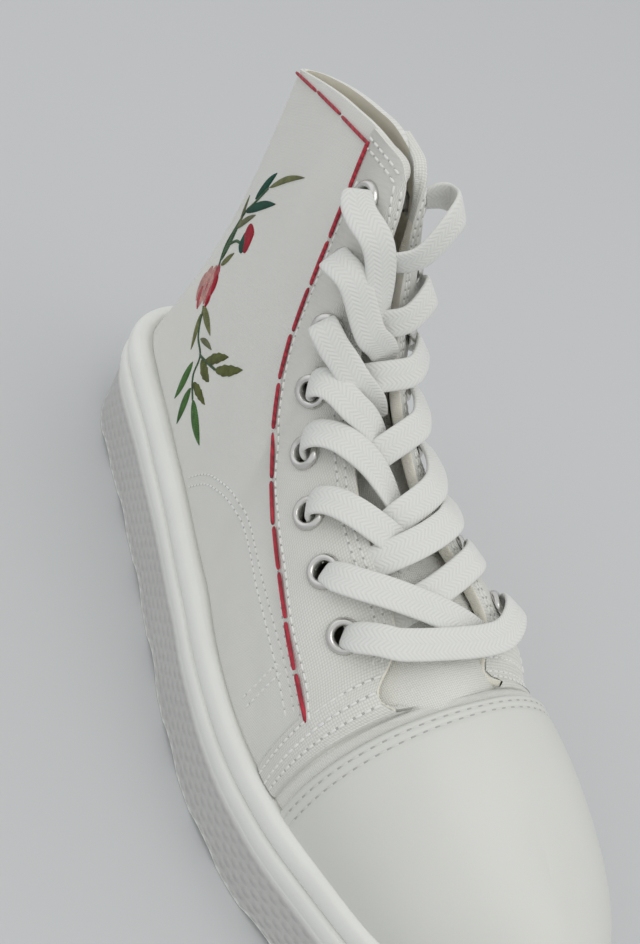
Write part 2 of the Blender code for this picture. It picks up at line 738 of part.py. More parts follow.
def main():
    for old in list(bpy.data.objects):
        bpy.data.objects.remove(old)
    rubber = material("white_rubber", (0.78, 0.78, 0.75), 0.55)
    canvas = material("white_canvas", (0.80, 0.80, 0.77), 0.85)
    coated = material("coated_toe", (0.80, 0.80, 0.76), 0.45)
    cotton = material("lace_cotton", (0.82, 0.82, 0.80), 0.9)
    metal = material("eyelet_metal", (0.70, 0.70, 0.71), 0.25, metallic=1.0)
    make_outsole(rubber)
    make_midsole(rubber)
    make_welt(rubber)
    make_insole(canvas)
    holes = hole_cutter(metal)
    make_upper(canvas, holes)
    make_toe_cap(coated)
    make_eyestays(canvas, holes)
    make_eyelets(metal)
    make_tongue(canvas)
    make_lace(cotton)


main()
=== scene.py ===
"""Dresses the high-top platform sneaker in its canvas, coated toe, rubber, lace, stitches and sprig.

The shoe stands on its sole with +X towards the toe, +Y towards the inner (medial) side and +Z up.
Every soft piece is worked out again, more finely, from the same ring of ribs as the solids.
"""

import math
from collections import namedtuple
from functools import lru_cache

import bmesh
import bpy
import numpy as np
from bpy.props import FloatProperty, FloatVectorProperty, PointerProperty
from bpy.types import Operator, Panel, PropertyGroup
from mathutils import Matrix, Vector
from mathutils.bvhtree import BVHTree


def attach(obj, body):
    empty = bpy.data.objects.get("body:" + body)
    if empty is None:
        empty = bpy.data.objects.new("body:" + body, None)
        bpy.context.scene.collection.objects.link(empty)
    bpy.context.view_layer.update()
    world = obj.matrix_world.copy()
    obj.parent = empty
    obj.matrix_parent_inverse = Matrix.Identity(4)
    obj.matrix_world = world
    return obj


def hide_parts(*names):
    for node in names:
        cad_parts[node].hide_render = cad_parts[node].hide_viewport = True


bl_info = {
    "name": "High-top platform sneaker",
    "version": (1, 0, 0),
    "blender": (4, 5, 0),
    "location": "3D View > Sidebar > Sneaker",
    "description": "Cloth, rubber, lace and stitches of a canvas high-top on a platform sole",
    "category": "Object",
}

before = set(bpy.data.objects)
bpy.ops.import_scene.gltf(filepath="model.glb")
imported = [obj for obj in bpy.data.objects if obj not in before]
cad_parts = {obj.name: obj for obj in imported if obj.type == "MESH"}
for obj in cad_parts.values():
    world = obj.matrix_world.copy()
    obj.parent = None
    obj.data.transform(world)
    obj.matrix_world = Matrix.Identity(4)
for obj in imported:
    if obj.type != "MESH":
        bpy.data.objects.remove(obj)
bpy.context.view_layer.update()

MM = 0.001

# Sides of the shoe, outer and inner, and whether each is the medial one
SIDES = {"lateral": False, "medial": True}

# The table of ribs is drawn for a sole of 300 mm and made up in a smaller shoe size.
LAST = 0.93 * MM

# Sole, measured upwards from the floor
PLATFORM_HEIGHT = 29.0 * MM
WELT_RISE = 9.0 * MM
HEEL_WEDGE = 5.0 * MM
HEEL_WEDGE_END = 120.0 * MM
TOE_SPRING = 7.0 * MM
TOE_SPRING_START = 212.0 * MM
TOE_SPRING_END = 264.0 * MM
SCALLOP_PITCH = 30.5 * MM
SCALLOP_WIDTH = 18.0 * MM
SCALLOP_DEPTH = 2.2 * MM
SCALLOP_FIRST = -3.0 * MM
SCALLOP_COUNT = 8

# Thicknesses and clearances
WELD = 0.05 * MM
RIM = 0.5 * MM
WALL = 1.6 * MM
EYESTAY_THICKNESS = 0.9 * MM
TONGUE_THICKNESS = 1.6 * MM
GAP = 0.35 * MM
SEAT_GAP = 0.5 * MM

# Eyestays and eyelets
EYESTAY_LIFT = 0.55 * MM
EYELET_COUNT = 8
EYELET_PITCH = 17.3 * MM
EYELET_FIRST = 12.5 * MM
EYELET_HOLE = 3.5 * MM
EYELET_REACH = 6.0 * MM
EYELET_DEPTH = 0.6 * MM

# Tongue
TONGUE_CLEARANCE = 1.8 * MM
TONGUE_ARCH = 9.0 * MM
TONGUE_LENGTH = 104.0 * MM
TONGUE_ROOT = 20.0 * MM
TONGUE_ROOT_DROP = 8.5 * MM
TONGUE_ROOT_NARROWING = 0.22
TONGUE_ROOT_ROWS = np.linspace(1.0, 0.06, 16)
TONGUE_COLUMNS = 25
TONGUE_ROWS = 60

# One row for each rib of the last, from the back of the heel to the tip of the toe.
# foot_x, lateral, medial: the feather line. margin: how far the foot of the sole stands out from it.
# top_x, centre, half, top_z: where the rib ends, as a centre line and half a width.
# turn: degrees that the rib turns over on its way up. square: how boxy it is. swell: its outward belly.
Rib = namedtuple("Rib", "name foot_x lateral medial margin top_x centre half top_z turn square swell")
RIBS = (
    Rib("heel_back", 0.0, 0.0, 0.0, 9.0, 18.5, 8.0, 0.0, 162.0, 40, 1.1, -5.0),
    Rib("heel_corner", 2.0, 10.5, 11.0, 9.5, 20.0, 8.0, 2.0, 162.5, 40, 1.1, -6.0),
    Rib("heel_side", 9.0, 18.5, 19.5, 9.8, 26.0, 7.5, 3.4, 165.0, 40, 1.1, -7.0),
    Rib("counter", 25.0, 23.3, 24.5, 9.6, 38.0, 6.2, 4.3, 169.5, 40, 1.1, -6.0),
    Rib("counter_end", 48.0, 25.5, 26.5, 9.5, 53.0, 4.5, 4.6, 174.5, 42, 1.2, -4.5),
    Rib("ankle", 74.0, 28.0, 26.0, 10.0, 70.0, 2.6, 4.6, 179.0, 46, 1.4, -3.0),
    Rib("shank", 98.0, 31.0, 26.0, 10.0, 85.0, 1.0, 4.2, 182.0, 46, 1.4, -2.0),
    Rib("collar_front", 112.0, 33.2, 27.5, 10.0, 97.0, 0.2, 3.2, 182.5, 46, 1.35, -1.5),
    Rib("throat_top", 120.0, 34.4, 28.5, 10.0, 103.5, 0.0, 2.3, 179.5, 46, 1.35, -1.5),
    Rib("shin_high", 127.0, 35.5, 30.0, 9.8, 108.0, 0.0, 3.0, 159.0, 46, 1.35, -1.5),
    Rib("shin", 135.0, 37.0, 31.5, 9.6, 115.0, 0.0, 4.6, 137.0, 48, 1.45, -1.0),
    Rib("instep_bend", 144.0, 38.8, 33.5, 9.4, 126.0, -0.5, 7.0, 120.0, 54, 1.65, -0.5),
    Rib("instep", 155.0, 40.5, 36.5, 9.0, 141.0, -1.0, 9.0, 108.0, 63, 1.9, 0.0),
    Rib("waist_top", 174.0, 42.5, 41.5, 8.4, 168.0, -0.3, 12.0, 97.5, 71, 2.1, 0.0),
    Rib("throat_corner", 193.0, 42.3, 45.5, 8.0, 193.0, 1.5, 16.0, 84.5, 77, 2.2, 0.0),
    Rib("throat_turn", 203.0, 41.05, 46.4, 7.8, 204.4, 0.9, 17.4, 80.0, 67, 2.2, 0.0),
    Rib("throat_end", 205.0, 40.75, 46.5, 7.8, 207.2, 5.9, 0.0, 83.5, 88, 2.2, 0.0),
    Rib("cap_seam", 207.6, 40.3, 46.7, 7.8, 209.0, 7.5, 0.0, 83.0, 88, 2.2, 0.0),
    Rib("toe_box", 231.0, 33.8, 46.0, 7.6, 224.0, 9.5, 0.0, 79.0, 86, 2.2, 0.5),
    Rib("toe_side", 252.0, 27.0, 41.8, 7.4, 238.0, 10.5, 0.0, 74.5, 80, 2.2, 0.8),
    Rib("toe_corner", 270.0, 15.5, 33.0, 7.2, 247.0, 10.8, 0.0, 71.0, 74, 2.2, 1.0),
    Rib("toe_front", 281.0, 3.5, 21.5, 7.0, 252.0, 10.5, 0.0, 69.3, 70, 2.2, 1.0),
    Rib("toe_tip", 284.5, -9.0, 9.0, 7.0, 254.5, 10.0, 0.0, 68.6, 68, 2.2, 1.0),
)
ROW = {rib.name: index for index, rib in enumerate(RIBS)}

# Sides of the platform and the welt: share of the height, and share of the margin that it has drawn in
PLATFORM_STEPS = ((0, 0.10), (0.34, 0.22), (0.70, 0.35), (0.76, 0.30), (0.88, 0.28), (0.97, 0.36), (1, 0.52))
WELT_STEPS = ((0, 0.56), (0.18, 0.44), (0.50, 0.42), (0.82, 0.54), (1, 0.78))

# Distance of the eyelets' line from the throat's edge at some of the ribs, in millimetres
EYELET_OFFSETS = {"throat_top": 8.8, "shin_high": 11.0, "shin": 13.0, "instep": 13.2, "throat_corner": 11.8}

# Climb just below the top line, and the lowest climb that the throat's pieces reach
JUST_BELOW_TOP = 0.985
LOWEST_CLIMB = 0.2


# Sums on lines and grids of points


def unit(vectors):
    """Vectors made one long."""
    return vectors / np.maximum(np.linalg.norm(vectors, axis=-1, keepdims=True), 1e-12)


def arc_lengths(points, axis=0):
    """Metres from the start of a line of points, or along each line of a grid."""
    steps = np.linalg.norm(np.diff(points, axis=axis), axis=-1)
    return np.insert(np.cumsum(steps, axis=axis), 0, 0.0, axis=axis)


def smooth_path(controls, spacing):
    """Rounded line through control points, read at an even spacing."""
    controls = np.asarray(controls, float)
    ends = np.concatenate([[2 * controls[0] - controls[1]], controls, [2 * controls[-1] - controls[-2]]])
    pieces = []
    t = np.linspace(0, 1, 24, endpoint=False)[:, None]
    for a, b, c, d in zip(ends, ends[1:], ends[2:], ends[3:]):
        bend = 2 * a - 5 * b + 4 * c - d
        twist = 3 * (b - c) + d - a
        pieces.append(0.5 * (2 * b + (c - a) * t + bend * t**2 + twist * t**3))
    line = np.concatenate(pieces + [controls[-1:]])
    along = arc_lengths(line)
    read = np.linspace(0, along[-1], max(3, round(along[-1] / spacing) + 1))
    return np.stack([np.interp(read, along, line[:, i]) for i in range(line.shape[1])], axis=1)


def eased(values, passes=12):
    """Values along a line with their small jumps smoothed out."""
    values = np.array(values, float)
    for _ in range(passes):
        values[1:-1] = (values[:-2] + 2 * values[1:-1] + values[2:]) / 4
    return values


# The last: ribs read as smooth curves round the shoe


def knots():
    """Places of the table's rows round the shoe: 0 at the heel, 0.5 at the toe tip."""
    steps = [0.0]
    for a, b in zip(RIBS, RIBS[1:]):
        lateral = math.hypot(b.foot_x - a.foot_x, b.lateral - a.lateral)
        medial = math.hypot(b.foot_x - a.foot_x, b.medial - a.medial)
        steps.append(steps[-1] + (lateral + medial) / 2)
    return np.array(steps) / steps[-1] / 2


KNOTS = knots()
TURN_KNOTS = np.concatenate([KNOTS, 1 - KNOTS[-2:0:-1]])
TURN_SPANS = np.diff(np.append(TURN_KNOTS, 1.0))


def smooth_curve(values, places):
    """Periodic cubic spline through a value for each knot of the whole turn."""
    count = len(values)
    slopes = (np.roll(values, -1) - values) / TURN_SPANS
    system = np.zeros((count, count))
    target = np.zeros(count)
    for i in range(count):
        before = i - 1
        system[i, before] = TURN_SPANS[i]
        system[i, i] = 2 * (TURN_SPANS[before] + TURN_SPANS[i])
        system[i, (i + 1) % count] = TURN_SPANS[before]
        target[i] = 3 * (TURN_SPANS[i] * slopes[before] + TURN_SPANS[before] * slopes[i])
    return cubic_pieces(values, np.linalg.solve(system, target), places)


def steady_curve(values, places):
    """Like smooth_curve, but it never swings past the values: for the corners of the top line."""
    after = (np.roll(values, -1) - values) / TURN_SPANS
    before = np.roll(after, 1)
    span_before = np.roll(TURN_SPANS, 1)
    tangent = (TURN_SPANS * before + span_before * after) / (TURN_SPANS + span_before)
    limit = 3 * np.minimum(np.abs(before), np.abs(after))
    tangent = np.where(before * after > 0, np.clip(tangent, -limit, limit), 0.0)
    return cubic_pieces(values, tangent, places)


def cubic_pieces(values, tangents, places):
    """Cubic pieces between the knots, with the given tangents."""
    places = np.mod(places, 1.0)
    left = np.searchsorted(TURN_KNOTS, places, side="right") - 1
    right = (left + 1) % len(TURN_KNOTS)
    span = TURN_SPANS[left]
    t = (places - TURN_KNOTS[left]) / span
    return (
        values[left] * (1 + 2 * t) * (1 - t) ** 2
        + tangents[left] * span * t * (1 - t) ** 2
        + values[right] * t * t * (3 - 2 * t)
        + tangents[right] * span * t * t * (t - 1)
    )


def column(name, medial_name=None):
    """A column of the table for the whole turn, lateral side first."""
    there = [getattr(rib, name) for rib in RIBS]
    back = [getattr(rib, medial_name or name) for rib in RIBS[-2:0:-1]]
    if medial_name:
        there = [-value for value in there]
    return np.array(there + back, float)


def feather(places):
    """Feather line: points on the floor plan, and outward normals."""

    def read(where):
        x = smooth_curve(column("foot_x"), where)
        y = smooth_curve(column("lateral", "medial"), where)
        return np.stack([x, y], axis=-1) * LAST

    step = 1e-4
    tangent = unit(read(places + step) - read(places - step))
    outward = np.stack([tangent[:, 1], -tangent[:, 0]], axis=-1)
    return read(places), outward


def toe_rise(x):
    """How far the sole has lifted off the floor at x."""
    ahead = np.clip((x - TOE_SPRING_START) / (TOE_SPRING_END - TOE_SPRING_START), 0, 1.2)
    return TOE_SPRING * ahead**2


def deck(x):
    """Height of the platform's top at x: it is thicker towards the heel and lifts at the toe."""
    behind = np.clip(1 - x / HEEL_WEDGE_END, 0, 1)
    wedge = HEEL_WEDGE * behind**2 * (3 - 2 * behind)
    return PLATFORM_HEIGHT + wedge + toe_rise(x)


def top_line(places):
    """Where the ribs end: collar, throat edge and ridge."""
    x = steady_curve(column("top_x"), places)
    z = steady_curve(column("top_z"), places)
    centre = smooth_curve(column("centre"), places)
    half = steady_curve(column("half"), places)
    side = np.where(np.mod(places, 1.0) < 0.5, -1.0, 1.0)
    return np.stack([x, centre + side * half, z], axis=-1) * LAST


def rib_points(places, climbs):
    """Outer surface of the upper: places round the shoe by climbs up the ribs, from 0 to 1."""
    foot, outward = feather(places)
    top = top_line(places)
    turn = np.radians(steady_curve(column("turn"), places))[:, None]
    power = 2 / steady_curve(column("square"), places)[:, None]
    swell = steady_curve(column("swell"), places)[:, None] * LAST
    seat = (deck(foot[:, 0]) + SEAT_GAP)[:, None]
    angle = turn * climbs
    inward = (1 - np.cos(angle) ** power) / (1 - np.cos(turn) ** power)
    upward = np.sin(angle) ** power / np.sin(turn) ** power
    belly = swell * np.sin(np.pi * np.minimum(upward, 1.0))
    x = foot[:, :1] + (top[:, :1] - foot[:, :1]) * inward + outward[:, :1] * belly
    y = foot[:, 1:] + (top[:, 1:2] - foot[:, 1:]) * inward + outward[:, 1:] * belly
    z = seat + (top[:, 2:] - seat) * upward
    return np.stack([x, y, z], axis=-1)


def rib_normals(places, climbs):
    """Outward normals of the upper's outer surface, shared by both sides along the ridge."""
    normal = side_normals(places, climbs)
    on_ridge = np.minimum(np.mod(places, 1.0), np.mod(1 - places, 1.0)) >= KNOTS[ROW["throat_end"]]
    shared = (on_ridge[:, None] & (climbs >= 1.0))[..., None]
    return unit(np.where(shared, normal + side_normals(1 - places, climbs), normal))


def side_normals(places, climbs):
    """Outward normals of one side on its own, read just below the top line where ribs may meet."""
    step = 2e-4
    climbs = np.minimum(climbs, JUST_BELOW_TOP)
    low = np.clip(climbs - step, 0, 1)
    high = np.clip(climbs + step, 0, 1)
    along = rib_points(places + step, climbs) - rib_points(places - step, climbs)
    up = rib_points(places, high) - rib_points(places, low)
    return unit(np.cross(along, up))


def lifted(places, climbs, lift):
    """The upper's outer surface, moved outwards by lift."""
    return rib_points(places, climbs) + rib_normals(places, climbs) * lift


def climb_above_deck(places, height):
    """Climb at which each rib is at a height above the platform."""
    foot, _ = feather(places)
    turn = np.radians(steady_curve(column("turn"), places))
    power = 2 / steady_curve(column("square"), places)
    share = (height - SEAT_GAP) / (top_line(places)[:, 2] - deck(foot[:, 0]) - SEAT_GAP)
    sine = (np.clip(share, 0, 1) * np.sin(turn) ** power) ** (1 / power)
    return np.arcsin(sine) / turn


def steps_between(first, last, steps):
    """Places from one named rib to another on the lateral side, with each span of the table divided."""
    rows = range(ROW[first], ROW[last])
    found = [np.linspace(KNOTS[r], KNOTS[r + 1], steps, endpoint=False) for r in rows]
    return np.concatenate(found + [[KNOTS[ROW[last]]]])


def sole_edge(places, inset):
    """Outline of the sole on the floor plan. Inset is the share of the margin that it has drawn in."""
    foot, outward = feather(places)
    margin = steady_curve(column("margin"), places)[:, None] * LAST
    return foot + outward * margin * (1 - inset)


STRAIGHT_SIDE = steps_between("counter_end", "throat_corner", steps=1)
ROUND_HEEL = steps_between("heel_back", "counter_end", steps=2)
ROUND_TOE = steps_between("throat_corner", "toe_tip", steps=2)
HALF_SOLE = np.concatenate([ROUND_HEEL, STRAIGHT_SIDE[1:-1], ROUND_TOE])
RING = np.concatenate([HALF_SOLE, 1 - HALF_SOLE[-2:0:-1]])
GROUND_EDGE = sole_edge(RING, 0.0)
MIDDLE = Vector((*((GROUND_EDGE.min(axis=0) + GROUND_EDGE.max(axis=0)) / 2), 0.0))


# Throat: lines at a distance from its edge, which eyestays, eyelets, tongue and lace follow

EDGE_PLACES = np.linspace(KNOTS[ROW["throat_top"]], KNOTS[ROW["throat_corner"]], 121)
THROAT_PLACES = np.linspace(KNOTS[ROW["shank"]], KNOTS[ROW["throat_corner"]], 121)


def climb_to_eyelets(places):
    """Climb on each rib to the eyelets' line, or 1 where the whole rib is farther from the throat's edge."""
    edge = top_line(EDGE_PLACES)
    climbs = np.linspace(1.0, LOWEST_CLIMB, 321)
    points = rib_points(places, climbs[None, :])
    rows = [KNOTS[ROW[name]] for name in EYELET_OFFSETS]
    distances = np.interp(places, rows, np.array([*EYELET_OFFSETS.values()]) * MM)
    found = np.ones(len(places))
    for i, rib in enumerate(points):
        away = np.linalg.norm(rib[:, None] - edge[None], axis=-1).min(axis=1)
        found[i] = climbs[np.nonzero(away >= distances[i])[0][0]]
    return found


def eyelet_line():
    """Line of the eyelets up the throat: places, climbs, and length from the throat's corner."""
    places = THROAT_PLACES[::-1]
    climbs = climb_to_eyelets(places)
    places = places[climbs < 1.0]
    climbs = climbs[climbs < 1.0]
    return places, climbs, arc_lengths(rib_points(places, climbs[:, None])[:, 0])


LINE_PLACES, LINE_CLIMBS, LINE_LENGTHS = eyelet_line()


def edge_beside_line():
    """Place of the throat's edge nearest to each point of the eyelet line."""
    line = rib_points(LINE_PLACES, LINE_CLIMBS[:, None])[:, 0]
    edge = np.linspace(EDGE_PLACES[0], EDGE_PLACES[-1], 1201)
    away = np.linalg.norm(line[:, None] - top_line(edge)[None], axis=-1)
    return eased(edge[away.argmin(axis=1)])


LINE_CLIMBS = eased(LINE_CLIMBS)
LINE_EDGE = edge_beside_line()


def on_flap(lengths, share, medial, lift):
    """Points and normals beside the throat at lengths from its corner.

    Share is 0 on the eyelet line and 1 on the throat's edge.
    """
    places = np.interp(lengths, LINE_LENGTHS, LINE_PLACES)
    climbs = np.interp(lengths, LINE_LENGTHS, LINE_CLIMBS)
    places = places + (np.interp(lengths, LINE_LENGTHS, LINE_EDGE) - places) * share
    climbs = (climbs + (1 - climbs) * share)[:, None]
    if medial:
        places = 1 - places
    normals = rib_normals(places, climbs)[:, 0]
    return rib_points(places, climbs)[:, 0] + normals * lift, normals


EYELET_LENGTHS = EYELET_FIRST + EYELET_PITCH * np.arange(EYELET_COUNT)
EYESTAY_FACE = EYESTAY_LIFT + EYESTAY_THICKNESS


# Sizes and colours that a user may change


def length(name, description, default):
    """A length of the shoe, in metres."""
    return FloatProperty(name=name, description=description, default=default * MM, min=0.0, unit="LENGTH")


def colour(name, description, default):
    """A plain colour of one of the shoe's materials."""
    return FloatVectorProperty(
        name=name, description=description, default=default, subtype="COLOR", size=3, min=0.0, max=1.0
    )


class SneakerSizes(PropertyGroup):
    """Sizes of the sewn and woven details."""

    lace_width: length("Lace width", "Width of the flat lace", 8.6)
    lace_thickness: length("Lace thickness", "Thickness of the flat lace", 1.5)
    canvas_thread: length("Canvas thread", "Pitch of the upper's weave", 0.55)
    facing_thread: length("Eyestay thread", "Pitch of the eyestays' coarser weave", 0.8)
    lace_thread: length("Lace thread", "Pitch of the lace's weave", 1.3)
    running_stitch: length("Running stitch", "Length of a stitch of the coloured thread", 12.8)
    running_width: length("Running thread", "Width of the coloured thread", 1.45)
    seam_stitch: length("Seam stitch", "Length of a stitch of the machine seams", 1.9)
    seam_pitch: length("Seam pitch", "Distance between stitches of the machine seams", 2.5)
    pebble_pitch: length("Pebble pitch", "Distance between the pebbles on the side of the sole", 5.0)


class SneakerColours(PropertyGroup):
    """Colours of the materials."""

    canvas: colour("Canvas", "Upper and tongue", (0.855, 0.855, 0.81))
    facing: colour("Eyestay canvas", "Facings along the throat", (0.79, 0.785, 0.74))
    lining: colour("Lining", "Inside of the upper", (0.80, 0.76, 0.64))
    tape: colour("Edge tape", "Colour of the tape round the throat", (0.90, 0.87, 0.77))
    coated: colour("Toe", "Coated toe cap", (0.66, 0.665, 0.625))
    rubber: colour("Rubber", "Beads and welt", (0.82, 0.825, 0.79))
    # Painted shade: the pebbled band is the same white rubber, drawn darker where the platform's side faces
    # down.
    pebbled_shade: colour("Pebbled rubber", "Textured side of the platform", (0.525, 0.525, 0.51))
    lace: colour("Lace", "Flat cotton lace", (0.735, 0.74, 0.71))
    metal: colour("Eyelets", "Rolled metal eyelets", (0.66, 0.65, 0.63))
    running: colour("Running thread", "Thread along collar and eyestay", (0.56, 0.022, 0.050))
    thread: colour("Seam thread", "Thread of the machine seams", (0.80, 0.80, 0.77))
    floor: colour("Floor", "Plain pale floor", (0.575, 0.585, 0.592))


def sizes():
    """Sizes as they stand in the panel."""
    return bpy.context.scene.sneaker_sizes


def colours():
    """Colours as they stand in the panel."""
    return bpy.context.scene.sneaker_colours


# Mesh helpers


def grid_faces(columns, rows, flip=False):
    """Faces of a grid of points that is stored column by column."""
    c, r = np.meshgrid(np.arange(columns - 1), np.arange(rows - 1), indexing="ij")
    a = (c * rows + r).ravel()
    faces = np.stack([a, a + rows, a + rows + 1, a + 1], axis=1)
    return faces[:, ::-1] if flip else faces


def loop_faces(columns, rows):
    """Faces of a grid whose columns are closed rings."""
    c, r = np.meshgrid(np.arange(columns - 1), np.arange(rows), indexing="ij")
    a = (c * rows + r).ravel()
    b = (c * rows + (r + 1) % rows).ravel()
    return np.stack([a, a + rows, b + rows, b], axis=1)


def end_faces(columns, rows):
    """Faces that close the first and the last of such rings."""
    last = (columns - 1) * rows
    return [range(rows), range(last + rows - 1, last - 1, -1)]


def weave_map(along, across):
    """Metres along and across the weave, one row for each point of a grid."""
    return np.stack(np.broadcast_arrays(along, across), axis=-1).reshape(-1, 2)


def grid_sheet(grid, along, across, flip=False):
    """Points, faces and cloth of a grid of points with its metres along and across the weave."""
    return grid.reshape(-1, 3), grid_faces(*grid.shape[:2], flip), weave_map(along, across)


def joined(sheets):
    """Points, faces and cloth of several sheets as those of one."""
    points, faces, cloth = [], [], []
    start = 0
    for spots, shapes, weave in sheets:
        points.append(spots)
        faces += [[start + int(corner) for corner in face] for face in shapes]
        cloth.append(weave)
        start += len(spots)
    return np.concatenate(points), faces, np.concatenate(cloth)


def add_mesh(name, finish, points, faces, cloth=None, tint=None, weld=0.0):
    """Object at the origin. Cloth gives each point its metres along and across the weave."""
    mesh = bpy.data.meshes.new(name)
    mesh.from_pydata(np.asarray(points).tolist(), [], [[int(corner) for corner in face] for face in faces])
    if cloth is not None:
        corners = np.empty(len(mesh.loops), dtype=np.int32)
        mesh.loops.foreach_get("vertex_index", corners)
        layer = mesh.uv_layers.new(name="cloth")
        layer.uv.foreach_set("vector", np.asarray(cloth, dtype=np.float32)[corners].ravel())
    if tint is not None:
        shades = mesh.color_attributes.new("tint", "FLOAT_COLOR", "POINT")
        shades.data.foreach_set("color", np.asarray(tint, dtype=np.float32).ravel())
    if weld:
        edit = bmesh.new()
        edit.from_mesh(mesh)
        bmesh.ops.remove_doubles(edit, verts=edit.verts, dist=weld)
        edit.to_mesh(mesh)
        edit.free()
    mesh.shade_smooth()
    mesh.materials.append(finish)
    piece = bpy.data.objects.new(name, mesh)
    bpy.context.scene.collection.objects.link(piece)
    return piece


def dress(piece, slot, *nodes):
    """Lets a piece stand on the shoe and stand for its solids. The slot is not used."""
    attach(piece, "root")
    if nodes:
        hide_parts(*nodes)


def thicken(piece, thickness, inner=0):
    """Gives a sheet its wall. Inner is the material slot of the new face."""
    wall = piece.modifiers.new("wall", "SOLIDIFY")
    wall.thickness = thickness
    wall.offset = -1.0
    wall.material_offset = inner
    return wall


def soften(piece, width):
    """Rounds the sharp rims of a sheet."""
    rim = piece.modifiers.new("rim", "BEVEL")
    rim.width = width
    rim.segments = 2
    rim.limit_method = "ANGLE"
    rim.angle_limit = math.radians(50)


# Skin of the shoe, on which seams and stitches are laid


def on_shoe(points):
    """From the last's own frame to the shoe's frame."""
    return points - np.array(MIDDLE)


# Soft folds of the canvas: side, ends from the side, width and depth, in millimetres
Crease = namedtuple("Crease", "side x0 z0 x1 z1 width depth")
CREASES = (
    Crease("lateral", -8.0, 63.0, 26.0, 49.0, 5.0, -0.5),
    Crease("lateral", 16.0, 61.0, 44.0, 43.0, 4.0, -0.6),
    Crease("both", -62.0, 98.0, -40.0, 124.0, 7.0, -0.6),
    Crease("both", -97.0, 58.0, -66.0, 73.0, 6.0, -0.5),
    Crease("medial", -6.0, 62.0, 30.0, 46.0, 5.0, -0.6),
    Crease("medial", -40.0, 86.0, -8.0, 60.0, 7.0, -0.7),
)


def crease_lift(points, medial):
    """Soft troughs and ridges of the worn canvas, as a lift off the smooth last."""
    lift = np.zeros(points.shape[:-1])
    flat = points[..., [0, 2]] / MM
    for crease in CREASES:
        if crease.side == "lateral" and medial or crease.side == "medial" and not medial:
            continue
        start = np.array([crease.x0, crease.z0])
        along = np.array([crease.x1, crease.z1]) - start
        share = np.clip(((flat - start) @ along) / (along @ along), 0, 1)
        away = np.linalg.norm(flat - start - share[..., None] * along, axis=-1)
        fade = np.sin(np.pi * np.clip(share, 0.02, 0.98)) ** 0.5
        lift += crease.depth * MM * fade * np.exp(-((away / crease.width) ** 2))
    return lift


def skin_grid(places, climbs, lift, medial):
    """Points of the upper's skin on one side, and their metres across and up the weave."""
    side = 1 - places if medial else places
    points = on_shoe(lifted(side, climbs, lift))
    points = points + rib_normals(side, climbs) * crease_lift(points, medial)[..., None]
    shank = KNOTS[ROW["shank"]]
    middle = np.searchsorted(places, shank) if places[0] < shank < places[-1] else 0
    across = arc_lengths(points)
    return points, across - across[middle], arc_lengths(points, axis=1)


def skin_side(places, climbs, lift, medial):
    """Points, faces and cloth of the skin over the given ribs of one side."""
    return grid_sheet(*skin_grid(places, climbs, lift, medial), flip=medial)


def skin_sheet(name, finish, places, climbs, lift):
    """Sheet over the given ribs of both sides."""
    sides = [skin_side(places, climbs, lift, medial) for medial in SIDES.values()]
    return add_mesh(name, finish, *joined(sides), weld=WELD)


SKIN_STEPS = 7
SKIN_ROWS = 66
SKIN_PLACES = steps_between("heel_back", "toe_tip", SKIN_STEPS)
SKIN_CLIMBS = np.linspace(0, 1, SKIN_ROWS)[None, :] ** 0.8


# Line of the coloured thread along the eyestay, from the collar down: (x, z) millimetres seen from the side
THROAT_THREAD = (
    (-51.8, 166.4), (-48.6, 157.7), (-43.7, 139.3), (-36.5, 113.6), (-26.0, 97.0),
    (-14.7, 83.4), (-0.4, 78.7), (18.6, 74.1), (38.5, 66.9), (51.1, 61.9),
)
FACING_BEHIND_THREAD = 1.5


def shifted(line, distance):
    """A line moved sideways in its own plane, to the left of its direction."""
    path = smooth_path(line, 2.0)
    along = unit(np.gradient(path, axis=0))
    return path + np.column_stack([-along[:, 1], along[:, 0]]) * distance


def eyestay_places(steps):
    """Places that the eyestays cover, and the climbs of their rear line, just behind the coloured thread."""
    ring = steps_between("ankle", "throat_turn", steps)
    rear = shifted(THROAT_THREAD, -FACING_BEHIND_THREAD) * MM
    climbs = np.linspace(1.0, LOWEST_CLIMB, 401)
    ribs = on_shoe(rib_points(ring, climbs[None, :]))
    above = ribs[..., 2] > np.interp(ribs[..., 0], rear[:, 0], rear[:, 1])
    above &= ribs[..., 0] > rear[0, 0]
    low = np.array([LOWEST_CLIMB if row.all() else climbs[np.nonzero(~row)[0][0]] for row in above])
    keep = low < JUST_BELOW_TOP
    return ring[keep], eased(low[keep], passes=6)[:, None]


@lru_cache(maxsize=1)
def skin():
    """Tree of the upper's outer face, raised where the eyestays lie on it, for laying things on the shoe."""
    facing, low = eyestay_places(SKIN_STEPS)
    over = low + (1 - low) * np.linspace(0, 1, 14)[None, :]
    layers = ((SKIN_PLACES, SKIN_CLIMBS, 0.0), (facing, over, EYESTAY_FACE))
    points, faces, _ = joined([skin_side(*layer, medial) for medial in SIDES.values() for layer in layers])
    return BVHTree.FromPolygons(points.tolist(), faces)


# Spacing of the points of a laid line, and where the look at a side starts
SEAM_SPACING = 0.8 * MM
BESIDE_SHOE = 0.2


def lay_on_side(line, medial):
    """A line of (x, z) millimetres laid on one side of the shoe: points and outward normals."""
    return cast_from_side(smooth_path(np.asarray(line) * MM, SEAM_SPACING), medial)


def cast_from_side(path, medial):
    """Points and normals of the skin met by looking at one side of the shoe."""
    sign = 1.0 if medial else -1.0
    points, normals = [], []
    for x, z in path:
        hit, normal, _, _ = skin().ray_cast(Vector((x, sign * BESIDE_SHOE, z)), Vector((0.0, -sign, 0.0)))
        if hit is None:
            raise RuntimeError(f"the line leaves the shoe at x {x:.3f}, z {z:.3f}")
        facing = normal if normal.y * sign > 0 else -normal
        points.append(hit)
        normals.append(facing)
    return np.array(points), np.array(normals)


# Materials


